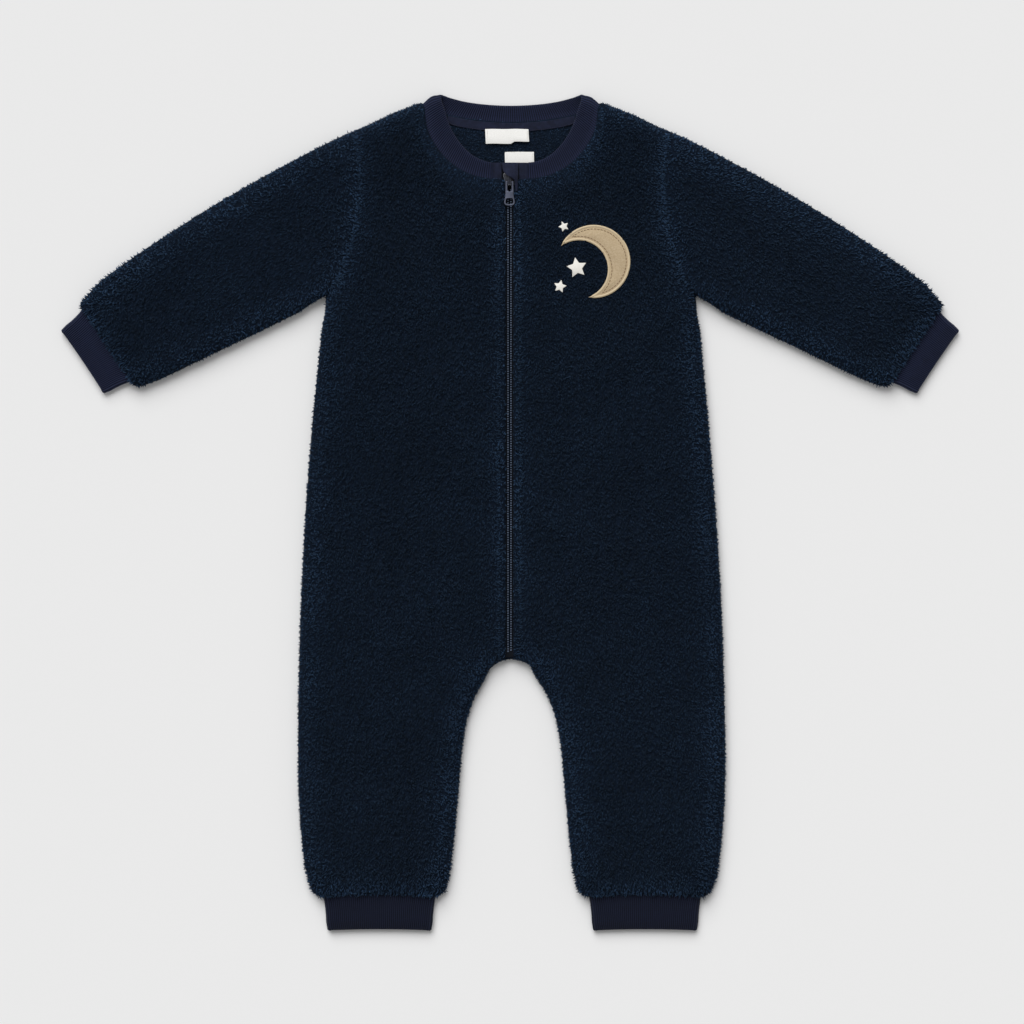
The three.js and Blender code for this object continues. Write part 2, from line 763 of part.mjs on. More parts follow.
// Turned ends of the zip facing, beside the neckband's ends
const facing = { wall: 1.6, z: 6.5 };
const facingRows = (left, right) => [
  { y: neckbandFrontY.seam, left, right, z: facing.z },
  { y: neckbandFrontY.free, left, right, z: facing.z },
];
addMesh('zip_facing_left', strip(facingRows(6.2, neckbandEnds.left - seamGap), facing.wall), colours.jersey);
addMesh('zip_facing_right', strip(facingRows(seamGap - neckbandEnds.right, -7.8), facing.wall), colours.jersey);

// Guard: a jersey flap that covers the parked slider
const guardWall = 1.2;
const guardRows = [
  { y: 257.4, left: 3.6, right: 4.9, leftZ: 10.2, crownZ: 10.2, rightZ: 10.1 },
  { y: 262, left: 3, right: 5.2, leftZ: 10.6, crownZ: 10.5, rightZ: 10.2 },
  { y: 266.4, left: 2.5, right: 5.4, leftZ: 12, crownZ: 11.3, rightZ: 10.2 },
  { y: 269, left: -2.6, right: 5.5, leftZ: 13.6, crownZ: 13.5, rightZ: 10.1 },
  { y: 272.4, left: -6.2, right: 5.6, leftZ: 12, crownZ: 13.2, rightZ: 9.2 },
  { y: 276, left: -7.1, right: 5.7, leftZ: 9.4, crownZ: 10.4, rightZ: 8 },
  { y: 280.4, left: -7.4, right: 5.8, leftZ: 7.2, crownZ: 7.6, rightZ: 7 },
];

function guard() {
  const grid = guardRows.map((row) => [
    new THREE.Vector3(row.left, row.y, row.leftZ),
    new THREE.Vector3(THREE.MathUtils.lerp(row.left, row.right, 0.35), row.y, row.crownZ),
    new THREE.Vector3(THREE.MathUtils.lerp(row.left, row.right, 0.7), row.y, (row.crownZ * 2 + row.rightZ) / 3),
    new THREE.Vector3(row.right, row.y, row.rightZ),
  ]);
  return wallFromGrid(grid, 0, guardWall);
}

addMesh('zip_guard', guard(), colours.jersey);

// ---- Slider and pull ----

function toManifold(geometry) {
  const bare = geometry.clone();
  bare.deleteAttribute('normal');
  bare.deleteAttribute('uv');
  const merged = mergeVertices(bare, 1e-4);
  return new wasm.Manifold(new wasm.Mesh({
    numProp: 3,
    vertProperties: merged.attributes.position.array,
    triVerts: merged.index.array,
  }));
}

function toGeometry(manifold) {
  const mesh = manifold.getMesh();
  const geometry = new THREE.BufferGeometry();
  geometry.setAttribute('position', new THREE.BufferAttribute(mesh.vertProperties, 3));
  geometry.setIndex(new THREE.BufferAttribute(mesh.triVerts, 1));
  return geometry;
}

function joined(...geometries) {
  return toGeometry(geometries.map(toManifold).reduce((whole, piece) => whole.add(piece)));
}

function block(width, depth, height, x, y, z) {
  const geometry = new THREE.BoxGeometry(width, depth, height);
  geometry.translate(x, y, z + height / 2);
  return geometry;
}

const slider = {
  bottomY: 262.2,
  topY: 272.4,
  bottomHalf: 3.6,
  topHalf: 5.2,
  lowerPlateZ: 4.2,
  upperPlateZ: 8.9,
  plate: 0.9,
  upperPlate: 1.2,
  postHalf: 0.8,
  postY: [267.5, 271.5],
  bridgeHalf: 1.1,
  bridgeTop: 12.9,
  bridgeWall: 1,
  bridgeY: [262.2, 271],
  bridgeLeg: 0.8,
};

function sliderPlate(z, thickness) {
  const shape = new THREE.Shape();
  shape.moveTo(-slider.bottomHalf, slider.bottomY + 0.8);
  shape.lineTo(-slider.bottomHalf + 0.8, slider.bottomY);
  shape.lineTo(slider.bottomHalf - 0.8, slider.bottomY);
  shape.lineTo(slider.bottomHalf, slider.bottomY + 0.8);
  shape.lineTo(slider.bottomHalf, 265.5);
  shape.lineTo(slider.topHalf, slider.topY - 2);
  shape.lineTo(slider.topHalf - 1.4, slider.topY);
  shape.lineTo(-slider.topHalf + 1.4, slider.topY);
  shape.lineTo(-slider.topHalf, slider.topY - 2);
  shape.lineTo(-slider.bottomHalf, 265.5);
  shape.closePath();
  const geometry = new THREE.ExtrudeGeometry(shape, { depth: thickness, bevelEnabled: false });
  geometry.translate(0, 0, z);
  return geometry;
}

function sliderSolid() {
  const upperTop = slider.upperPlateZ + slider.upperPlate;
  const bridgeDepth = slider.bridgeY[1] - slider.bridgeY[0];
  const bridgeMiddle = (slider.bridgeY[0] + slider.bridgeY[1]) / 2;
  const legHeight = slider.bridgeTop - upperTop;
  const width = slider.bridgeHalf * 2;
  const postDepth = slider.postY[1] - slider.postY[0];
  const postMiddle = (slider.postY[0] + slider.postY[1]) / 2;
  const postHeight = slider.upperPlateZ - slider.lowerPlateZ;
  const overlap = 0.2;
  return joined(
    sliderPlate(slider.lowerPlateZ, slider.plate),
    sliderPlate(slider.upperPlateZ, slider.upperPlate),
    block(slider.postHalf * 2, postDepth, postHeight + overlap, 0, postMiddle, slider.lowerPlateZ + overlap),
    block(width, bridgeDepth, slider.bridgeWall, 0, bridgeMiddle, slider.bridgeTop - slider.bridgeWall),
    block(width, slider.bridgeLeg, legHeight + overlap, 0, slider.bridgeY[0] + slider.bridgeLeg / 2, upperTop - overlap),
    block(width, slider.bridgeLeg, legHeight + overlap, 0, slider.bridgeY[1] - slider.bridgeLeg / 2, upperTop - overlap),
  );
}

const sliderMesh = addMesh('zip_slider', sliderSolid(), colours.metal, roughness.metal, 1);
sliderMesh.position.x = zipX;

// The pull turns on a bar under the slider's bridge; its own origin is that bar
const pull = {
  hingeY: 264.5,
  hingeZ: 11,
  barRadius: 0.6,
  thickness: 1.2,
  armInner: 1.7,
  waistHalf: 3.4,
  armEnd: 7.4,
  ringHalf: 4.2,
  ringCentre: 14.2,
  ringHole: 2.4,
};

function pullSolid() {
  const plate = new THREE.Shape();
  plate.moveTo(-pull.waistHalf, 0.6);
  plate.lineTo(-pull.waistHalf, -11);
  plate.absarc(0, -pull.ringCentre, pull.ringHalf, Math.PI * 0.8, Math.PI * 2.2, false);
  plate.lineTo(pull.waistHalf, -11);
  plate.lineTo(pull.waistHalf, 0.6);
  plate.lineTo(pull.armInner, 0.6);
  plate.lineTo(pull.armInner, -pull.armEnd + 1);
  plate.lineTo(pull.armInner - 1, -pull.armEnd);
  plate.lineTo(-pull.armInner + 1, -pull.armEnd);
  plate.lineTo(-pull.armInner, -pull.armEnd + 1);
  plate.lineTo(-pull.armInner, 0.6);
  plate.closePath();
  const hole = new THREE.Path();
  hole.absellipse(0, -pull.ringCentre, pull.ringHole, pull.ringHole * 0.9, 0, Math.PI * 2, true);
  plate.holes.push(hole);
  const body = new THREE.ExtrudeGeometry(plate, { depth: pull.thickness, bevelEnabled: false, curveSegments: 10 });
  body.translate(0, 0, -pull.thickness / 2);
  const bar = new THREE.CylinderGeometry(pull.barRadius, pull.barRadius, pull.waistHalf * 2 - 0.4, 12);
  bar.rotateZ(Math.PI / 2);
  return joined(body, bar);
}

const pullMesh = addMesh('zip_pull', pullSolid(), colours.metal, roughness.metal, 1);
pullMesh.position.set(zipX, pull.hingeY, pull.hingeZ);

// ---- Chest patch: a felt moon with small stars ----

const patch = { x: 62, y: 204, z: frontTop + seamGap, wall: 1.5 };
const moon = { outerRadius: 29, innerRadius: 23.5, shift: 13.5, tilt: 28, x: 4, y: -3 };
const stars = [
  { name: 'star_large', x: -9.5, y: -8, radius: 8.5, tilt: 10 },
  { name: 'star_middle', x: -23, y: -23, radius: 5.5, tilt: -12 },
  { name: 'star_small', x: -20, y: 25, radius: 4.5, tilt: 22 },
];

function moonShape() {
  const { outerRadius: outer, innerRadius: inner, shift } = moon;
  const crossing = (outer ** 2 - inner ** 2 + shift ** 2) / (2 * shift);
  const outerAngle = Math.acos(crossing / outer);
  const innerAngle = Math.acos((crossing - shift) / inner);
  const shape = new THREE.Shape();
  shape.absarc(0, 0, outer, outerAngle, Math.PI * 2 - outerAngle, false);
  shape.absarc(shift, 0, inner, Math.PI * 2 - innerAngle, innerAngle, true);
  return shape;
}

function starShape(radius) {
  const shape = new THREE.Shape();
  for (let i = 0; i < 10; i += 1) {
    const angle = Math.PI / 2 + (i * Math.PI) / 5;
    const reach = i % 2 === 0 ? radius : radius * 0.5;
    const x = reach * Math.cos(angle);
    const y = reach * Math.sin(angle);
    if (i === 0) {
      shape.moveTo(x, y);
    } else {
      shape.lineTo(x, y);
    }
  }
  shape.closePath();
  return shape;
}

function addPatchPiece(name, shape, colour, tilt, x, y) {
  const geometry = new THREE.ExtrudeGeometry(shape, {
    depth: patch.wall,
    bevelEnabled: false,
    curveSegments: 14,
  });
  const mesh = addMesh(name, toGeometry(toManifold(geometry)), colour);
  mesh.rotation.z = THREE.MathUtils.degToRad(tilt);
  mesh.position.set(patch.x + x, patch.y + y, patch.z);
}

addPatchPiece('moon_patch', moonShape(), colours.felt, 180 + moon.tilt, moon.x, moon.y);
for (const star of stars) {
  addPatchPiece(star.name, starShape(star.radius), colours.thread, star.tilt, star.x, star.y);
}

// Centre the whole on the origin, standing on z = 0
garment.updateMatrixWorld(true);
const box = new THREE.Box3().setFromObject(garment, true);
garment.position.set(-(box.min.x + box.max.x) / 2, -(box.min.y + box.max.y) / 2, 0);
garment.updateMatrixWorld(true);

export default garment;
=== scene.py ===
import json
import math

import bmesh
import bpy
import numpy as np
from mathutils import Matrix, Vector
from mathutils.bvhtree import BVHTree
from mathutils.kdtree import KDTree


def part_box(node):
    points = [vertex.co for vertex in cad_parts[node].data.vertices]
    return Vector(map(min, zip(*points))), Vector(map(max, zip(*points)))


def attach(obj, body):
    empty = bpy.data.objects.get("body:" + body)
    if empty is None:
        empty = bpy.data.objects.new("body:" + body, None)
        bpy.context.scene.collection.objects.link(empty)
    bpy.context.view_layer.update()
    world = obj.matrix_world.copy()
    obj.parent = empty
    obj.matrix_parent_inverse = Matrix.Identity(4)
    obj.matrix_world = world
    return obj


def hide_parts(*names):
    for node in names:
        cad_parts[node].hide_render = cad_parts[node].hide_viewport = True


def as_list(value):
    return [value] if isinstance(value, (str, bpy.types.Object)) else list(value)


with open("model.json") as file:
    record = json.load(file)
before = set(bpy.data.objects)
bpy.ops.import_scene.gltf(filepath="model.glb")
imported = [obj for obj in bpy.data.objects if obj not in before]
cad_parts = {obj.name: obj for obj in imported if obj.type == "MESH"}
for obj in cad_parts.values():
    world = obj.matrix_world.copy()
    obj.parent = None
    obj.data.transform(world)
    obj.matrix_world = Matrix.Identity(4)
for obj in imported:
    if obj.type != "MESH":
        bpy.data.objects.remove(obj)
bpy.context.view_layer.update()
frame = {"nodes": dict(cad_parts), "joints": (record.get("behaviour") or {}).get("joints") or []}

mm = 0.001

# Stage: pale floor, camera straight above, soft light from beyond the neck

stage = {"cameraHeight": 2.6, "field": 0.8192, "focusHeight": 0.011, "sensor": 36, "aimX": 0.0006, "aimY": 0.0007,
         "floorSize": 30, "floorColour": "#f1f1f1", "worldColour": "#f9f9f9", "worldStrength": 0.375,
         "keyPlace": (-0.45, 1.5, 1.5), "keyStrength": 2.62, "keySoftness": 50}


def linearColour(hexCode):
    channels = [int(hexCode[i:i + 2], 16) / 255 for i in (1, 3, 5)]
    return [c / 12.92 if c <= 0.04045 else ((c + 0.055) / 1.055) ** 2.4 for c in channels] + [1]


def linkObject(name, data):
    thing = bpy.data.objects.new(name, data)
    bpy.context.scene.collection.objects.link(thing)
    return thing


def addNode(tree, kind, inputs=None, stops=(), **settings):
    made = tree.nodes.new(kind)
    for name, value in settings.items():
        setattr(made, name, value)
    if stops:
        elements = made.color_ramp.elements
        for element, (position, colour) in zip((elements[0], elements[-1]), (stops[0], stops[-1])):
            element.position = position
            element.color = linearColour(colour)
        for position, colour in stops[1:-1]:
            elements.new(position).color = linearColour(colour)
    for name, value in (inputs or {}).items():
        if isinstance(value, bpy.types.NodeSocket):
            tree.links.new(value, made.inputs[name])
        else:
            made.inputs[name].default_value = value
    return made


def newMaterial(name, colour=None, **values):
    material = bpy.data.materials.new(name)
    material.use_nodes = True
    tree = material.node_tree
    shader = tree.nodes["Principled BSDF"]
    if colour:
        shader.inputs["Base Color"].default_value = linearColour(colour)
    for name, value in values.items():
        shader.inputs[name].default_value = value
    return material, tree, shader


def softSun(place, strength, softness):
    # A very large far lamp, so that the floor is lit evenly and edges throw soft shadows.
    data = bpy.data.lights.new("key", "SUN")
    data.energy = strength
    data.angle = math.radians(softness)
    light = linkObject("key", data)
    light.rotation_euler = (-Vector(place)).to_track_quat("-Z", "Y").to_euler()


def buildStage():
    scene = bpy.context.scene
    data = bpy.data.cameras.new("camera")
    data.sensor_width = stage["sensor"]
    data.lens = stage["sensor"] * stage["cameraHeight"] / stage["field"]
    camera = linkObject("camera", data)
    camera.location = (stage["aimX"], stage["aimY"], stage["cameraHeight"] + stage["focusHeight"])
    scene.camera = camera
    scene.view_settings.view_transform = "Standard"

    world = bpy.data.worlds.new("studio")
    world.use_nodes = True
    scene.world = world
    background = world.node_tree.nodes["Background"]
    background.inputs["Color"].default_value = linearColour(stage["worldColour"])
    background.inputs["Strength"].default_value = stage["worldStrength"]
    softSun(stage["keyPlace"], stage["keyStrength"], stage["keySoftness"])

    bm = bmesh.new()
    bmesh.ops.create_grid(bm, x_segments=2, y_segments=2, size=stage["floorSize"] / 2)
    bmesh.ops.translate(bm, verts=bm.verts, vec=(0, 0, -0.3 * mm))
    mesh = bpy.data.meshes.new("floor")
    bm.to_mesh(mesh)
    bm.free()
    floor = linkObject("floor", mesh)
    material, tree, shader = newMaterial("paintedBoardMatt", stage["floorColour"], Roughness=0.9)
    shader.inputs["Specular IOR Level"].default_value = 0.1
    mesh.materials.append(material)


buildStage()
print("stage built")

# Helpers that make meshes


def takePlaceOf(piece, nodes, body="garment"):
    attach(piece, body)
    if nodes:
        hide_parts(*nodes)


def points(piece):
    flat = np.empty(len(piece.data.vertices) * 3, np.float32)
    piece.data.vertices.foreach_get("co", flat)
    return flat.reshape(-1, 3).astype(float)


def setPoints(piece, places):
    piece.data.vertices.foreach_set("co", places.astype(np.float32).ravel())
    piece.data.update()


def applyModifiers(piece):
    graph = bpy.context.evaluated_depsgraph_get()
    finished = bpy.data.meshes.new_from_object(piece.evaluated_get(graph))
    old = piece.data
    piece.modifiers.clear()
    piece.data = finished
    bpy.data.meshes.remove(old)
    finished.name = piece.name


def smoothShading(piece, sharpAngle=50):
    piece.data.polygons.foreach_set("use_smooth", [True] * len(piece.data.polygons))
    piece.data.set_sharp_from_angle(angle=math.radians(sharpAngle))


def copyOfNode(node, name, material, levels=0, bevel=0, grow=0, rimMaterial=None, creaseAngle=50):
    # A CAD node's own shape, with quads, creased rims and a finer surface.
    mesh = frame["nodes"][node].data.copy()
    piece = linkObject(name, mesh)
    bm = bmesh.new()
    bm.from_mesh(mesh)
    bmesh.ops.remove_doubles(bm, verts=bm.verts, dist=0.02 * mm)
    bmesh.ops.join_triangles(bm, faces=bm.faces, cmp_seam=False, cmp_sharp=False, cmp_uvs=False, cmp_vcols=False,
                             cmp_materials=False, angle_face_threshold=math.radians(30),
                             angle_shape_threshold=math.radians(150))
    creases = bm.edges.layers.float.new("crease_edge")
    for edge in bm.edges:
        if edge.calc_face_angle(0) > math.radians(creaseAngle):
            edge[creases] = 1
    bm.to_mesh(mesh)
    bm.free()
    mesh.materials.clear()
    mesh.materials.append(material)
    if bevel:
        rounding = piece.modifiers.new("rounding", "BEVEL")
        rounding.width = bevel
        rounding.segments = 2
        rounding.limit_method = "ANGLE"
        rounding.angle_limit = math.radians(35)
        if rimMaterial:
            mesh.materials.append(rimMaterial)
            rounding.material = 1
    if levels:
        finer = piece.modifiers.new("finer", "SUBSURF")
        finer.levels = levels
        finer.render_levels = levels
    if grow:
        fuller = piece.modifiers.new("fuller", "DISPLACE")
        fuller.strength = grow
        fuller.mid_level = 0
    applyModifiers(piece)
    smoothShading(piece)
    return piece


def blendRows(table, names, shares):
    # Smooth values of a table's named columns at shares of its rows, from 0 to 1.
    values = np.array([[row[name] for name in names] for row in table], float)
    at = np.clip(np.asarray(shares) * (len(values) - 1), 0, len(values) - 1)
    low = np.clip(at.astype(int), 0, len(values) - 2)
    t = (at - low)[:, None]
    before = values[np.clip(low - 1, 0, None)]
    start, end = values[low], values[low + 1]
    after = values[np.clip(low + 2, None, len(values) - 1)]
    return 0.5 * (2 * start + (end - before) * t + (2 * before - 5 * start + 4 * end - after) * t ** 2
                  + (3 * start - before - 3 * end + after) * t ** 3)


def smoothPath(corners, count):
    # A smooth path through a few (x, y) places.
    table = [{"x": x, "y": y} for x, y in corners]
    return blendRows(table, ["x", "y"], np.linspace(0, 1, count))


def threadAlong(name, paths, radius, flatness, material, closed):
    # Round thread along flat paths, made a mesh; radius in mm.
    curve = bpy.data.curves.new(name, "CURVE")
    curve.dimensions = "3D"
    curve.bevel_depth = radius * mm
    curve.bevel_resolution = 1
    curve.use_fill_caps = True
    for path in paths:
        spline = curve.splines.new("POLY")
        spline.points.add(len(path) - 1)
        for point, place in zip(spline.points, path):
            point.co = (place[0] * mm, place[1] * mm, 0, 1)
        spline.use_cyclic_u = closed
    holder = linkObject(name, curve)
    graph = bpy.context.evaluated_depsgraph_get()
    mesh = bpy.data.meshes.new_from_object(holder.evaluated_get(graph))
    bpy.data.objects.remove(holder)
    mesh.materials.clear()
    mesh.materials.append(material)
    piece = linkObject(name, mesh)
    places = points(piece)
    places[:, 2] *= flatness
    setPoints(piece, places)
    smoothShading(piece, 60)
    return piece


def liftPiece(piece, height):
    places = points(piece)
    places[:, 2] += height
    setPoints(piece, places)


# Materials

fabric = {"fleeceRoot": "#0a131f", "fleeceBody": "#0f1c2d", "fleeceTip": "#253547", "rib": "#1f2744",
          "ribDark": "#070a14", "ribLegPaintedShade": "#131a31", "jersey": "#20263e", "tape": "#10151f", "metal": "#5e6373",
          "metalBright": "#c0c3ce", "paint": "#181d2c"}


waveUnit = 0.314  # the wave pattern's scale that gives one band a unit
pileShades = 4.0  # a tuft's place across the pattern, from 0 to 1, dims or lightens it up to this many times


def pileTuftMaterial():
    # Brushed polyester pile: painted shade at the foot, and a painted highlight, paler and bluer, where the fibre ends
    # catch the light
    material, tree, shader = newMaterial("polyesterPileBrushed", Roughness=0.9)
    shader.inputs["Specular IOR Level"].default_value = 0.12
    shader.inputs["Sheen Weight"].default_value = 0.12
    shader.inputs["Sheen Roughness"].default_value = 0.5
    shader.inputs["Sheen Tint"].default_value = linearColour("#7fa3c4")
    place = addNode(tree, "ShaderNodeUVMap", uv_map="OFBake").outputs["UV"]
    parts = addNode(tree, "ShaderNodeSeparateXYZ", {"Vector": place})
    # Painted shade at each tuft's foot and a painted highlight at its tip, along the UV's Y
    ramp = addNode(tree, "ShaderNodeValToRGB", {"Fac": parts.outputs["Y"]}, [
        (0, fabric["fleeceRoot"]), (0.5, fabric["fleeceBody"]), (1, fabric["fleeceTip"])])
    shade = addNode(tree, "ShaderNodeMath", {0: parts.outputs["X"], 1: pileShades}, operation="MULTIPLY")
    tinted = addNode(tree, "ShaderNodeMix", {"Factor": 1.0, "A": ramp.outputs["Color"], "B": shade.outputs[0]},
                     data_type="RGBA", blend_type="MULTIPLY")
    tree.links.new(tinted.outputs["Result"], shader.inputs["Base Color"])
    return material


def fleeceGroundMaterial():
    # Knitted ground of the fleece, seen only between tufts and on the underside: matt, lumps of 2.2 mm
    material, tree, shader = newMaterial("polyesterFleeceGround", Roughness=0.95)
    shader.inputs["Specular IOR Level"].default_value = 0.1
    place = addNode(tree, "ShaderNodeTexCoord").outputs["Object"]
    lumps = addNode(tree, "ShaderNodeTexNoise", {"Vector": place, "Scale": 1 / (2.2 * mm), "Detail": 3.0})
    ramp = addNode(tree, "ShaderNodeValToRGB", {"Fac": lumps.outputs["Fac"]}, [
        (0.35, fabric["fleeceRoot"]), (0.75, fabric["fleeceBody"])])
    tree.links.new(ramp.outputs["Color"], shader.inputs["Base Color"])
    bump = addNode(tree, "ShaderNodeBump", {"Height": lumps.outputs["Fac"], "Strength": 1.0, "Distance": 1.5 * mm})
    tree.links.new(bump.outputs["Normal"], shader.inputs["Normal"])
    return material


def knitMaterial(name, dark, light, stitchWidth, stitchLength):
    # Fine knit or weave: rows of loops of the given width and length in mm, mottled over about 3 mm
    material, tree, shader = newMaterial(name, Roughness=0.88)
    shader.inputs["Specular IOR Level"].default_value = 0.2
    shader.inputs["Sheen Weight"].default_value = 0.1
    shader.inputs["Sheen Roughness"].default_value = 0.4
    place = addNode(tree, "ShaderNodeTexCoord").outputs["Object"]
    loops, rows = [addNode(tree, "ShaderNodeTexWave", {"Vector": place, "Scale": waveUnit / (size * mm),
                                                      "Distortion": 0.7, "Detail": 1.0}, bands_direction=direction)
                   for size, direction in ((stitchWidth, "X"), (stitchLength, "Y"))]
    knit = addNode(tree, "ShaderNodeMath", {0: loops.outputs["Fac"], 1: rows.outputs["Fac"]}, operation="MULTIPLY")
    fuzz = addNode(tree, "ShaderNodeTexNoise", {"Vector": place, "Scale": 1 / (3 * mm), "Detail": 4.0})
    mixed = addNode(tree, "ShaderNodeMath", {0: knit.outputs[0], 1: fuzz.outputs["Fac"]}, operation="ADD")
    ramp = addNode(tree, "ShaderNodeValToRGB", {"Fac": mixed.outputs[0]}, [(0.25, dark), (1, light)])
    tree.links.new(ramp.outputs["Color"], shader.inputs["Base Color"])
    bump = addNode(tree, "ShaderNodeBump", {"Height": knit.outputs[0], "Strength": 0.5, "Distance": 0.3 * mm})
    tree.links.new(bump.outputs["Normal"], shader.inputs["Normal"])
    return material


def ribMaterial(name, light):
    # Rib knit: painted highlight on the raised wales and painted shade in the purl between them; fuzz of about 5 mm
    material, tree, shader = newMaterial(name, Roughness=0.85)
    shader.inputs["Specular IOR Level"].default_value = 0.2
    shader.inputs["Sheen Weight"].default_value = 0.08
    shader.inputs["Sheen Roughness"].default_value = 0.4
    place = addNode(tree, "ShaderNodeUVMap", uv_map="ribs").outputs["UV"]
    parts = addNode(tree, "ShaderNodeSeparateXYZ", {"Vector": place})
    turn = addNode(tree, "ShaderNodeMath", {0: parts.outputs["X"], 1: 2 * math.pi}, operation="MULTIPLY")
    wale = addNode(tree, "ShaderNodeMath", {0: turn.outputs[0]}, operation="COSINE")
    rows = addNode(tree, "ShaderNodeMath", {0: parts.outputs["Y"], 1: 2 * math.pi}, operation="MULTIPLY")
    loop = addNode(tree, "ShaderNodeMath", {0: rows.outputs[0]}, operation="SINE")
    objectPlace = addNode(tree, "ShaderNodeTexCoord").outputs["Object"]
    fuzz = addNode(tree, "ShaderNodeTexNoise", {"Vector": objectPlace, "Scale": 1 / (5 * mm), "Detail": 6.0})
    first = addNode(tree, "ShaderNodeMath", {0: wale.outputs[0], 1: 0.42, 2: 0.4}, operation="MULTIPLY_ADD")
    second = addNode(tree, "ShaderNodeMath", {0: loop.outputs[0], 1: 0.07, 2: first.outputs[0]},
                     operation="MULTIPLY_ADD")
    third = addNode(tree, "ShaderNodeMath", {0: fuzz.outputs["Fac"], 1: 0.3, 2: second.outputs[0]},
                    operation="MULTIPLY_ADD")
    # Painted highlight on the wales and painted shade in the purl: the colour follows the wale's rise
    ramp = addNode(tree, "ShaderNodeValToRGB", {"Fac": third.outputs[0]}, [(0, fabric["ribDark"]), (1, light)])
    tree.links.new(ramp.outputs["Color"], shader.inputs["Base Color"])
    bump = addNode(tree, "ShaderNodeBump", {"Height": second.outputs[0], "Strength": 0.4, "Distance": 0.25 * mm})
    tree.links.new(bump.outputs["Normal"], shader.inputs["Normal"])
    return material


def fuzzyMaterial(name, dark, light, grain, strength, rough):
    # Short fibres pressed or laid together: a mottle and soft grain of the given size in mm
    material, tree, shader = newMaterial(name, Roughness=rough)
    place = addNode(tree, "ShaderNodeTexCoord").outputs["Object"]
    mottle = addNode(tree, "ShaderNodeTexNoise", {"Vector": place, "Scale": 1 / (grain * mm), "Detail": 5.0,
                                                 "Roughness": 0.65})
    ramp = addNode(tree, "ShaderNodeValToRGB", {"Fac": mottle.outputs["Fac"]}, [(0.3, dark), (0.7, light)])
    tree.links.new(ramp.outputs["Color"], shader.inputs["Base Color"])
    bump = addNode(tree, "ShaderNodeBump", {"Height": mottle.outputs["Fac"], "Strength": strength,
                                           "Distance": 0.4 * mm})
    tree.links.new(bump.outputs["Normal"], shader.inputs["Normal"])
    return material


def metalMaterial(name, colour):
    # Zinc alloy, die cast and tumbled, with a thin gunmetal plating: soft broad highlights, wear of 1.5 mm
    material, tree, shader = newMaterial(name, colour, Metallic=1.0)
    place = addNode(tree, "ShaderNodeTexCoord").outputs["Object"]
    wear = addNode(tree, "ShaderNodeTexNoise", {"Vector": place, "Scale": 1 / (1.5 * mm), "Detail": 4.0})
    rough = addNode(tree, "ShaderNodeMapRange", {"Value": wear.outputs["Fac"], "To Min": 0.28, "To Max": 0.48})
    tree.links.new(rough.outputs["Result"], shader.inputs["Roughness"])
    return material


materials = {
    "pile": pileTuftMaterial(),
    "ground": fleeceGroundMaterial(),
    "rib": ribMaterial("cottonRibKnit", fabric["rib"]),
    # The leg cuffs' rib is the same rib painted darker: painted shade
    "ribLegPaintedShade": ribMaterial("cottonRibKnitDark", fabric["ribLegPaintedShade"]),
    "jersey": knitMaterial("cottonJerseyKnit", fabric["ribDark"], fabric["jersey"], 0.7, 0.9),
    "tape": knitMaterial("polyesterTapeWoven", "#0a0d14", fabric["tape"], 0.6, 0.6),
    "coil": fuzzyMaterial("polyesterCoilMonofilament", "#101a2c", "#6a7b95", 0.8, 0.1, 0.4),
    "metal": metalMaterial("zincAlloyPlatedGrey", fabric["metal"]),
    # Bright bare metal on the rims of the slider and the pull: partly wear, partly a painted highlight
    "metalBright": metalMaterial("zincAlloyWornBright", fabric["metalBright"]),
    "paint": fuzzyMaterial("zincAlloyPaintedNavy", "#141826", fabric["paint"], 1.5, 0.05, 0.35),
    "label": fuzzyMaterial("polyesterSatinWoven", "#e2e1dd", "#f6f5f2", 0.6, 0.15, 0.6),
    "felt": fuzzyMaterial("woolFeltPressed", "#ad9675", "#cab798", 0.9, 0.5, 0.95),
    "satin": fuzzyMaterial("rayonSatinStitch", "#bda784", "#dccaa9", 0.5, 0.5, 0.5),
    "brownThread": fuzzyMaterial("rayonThreadBrown", "#5c4329", "#7d6140", 0.5, 0.3, 0.55),
    "whiteThread": fuzzyMaterial("rayonThreadWhite", "#e6e2d8", "#faf8f3", 0.5, 0.3, 0.5),
}
print("materials made")

# Fleece panels: the CAD walls made finer, with creases on the upper layer

seamHeight = 4.6 * mm
topHeight = 9.5 * mm

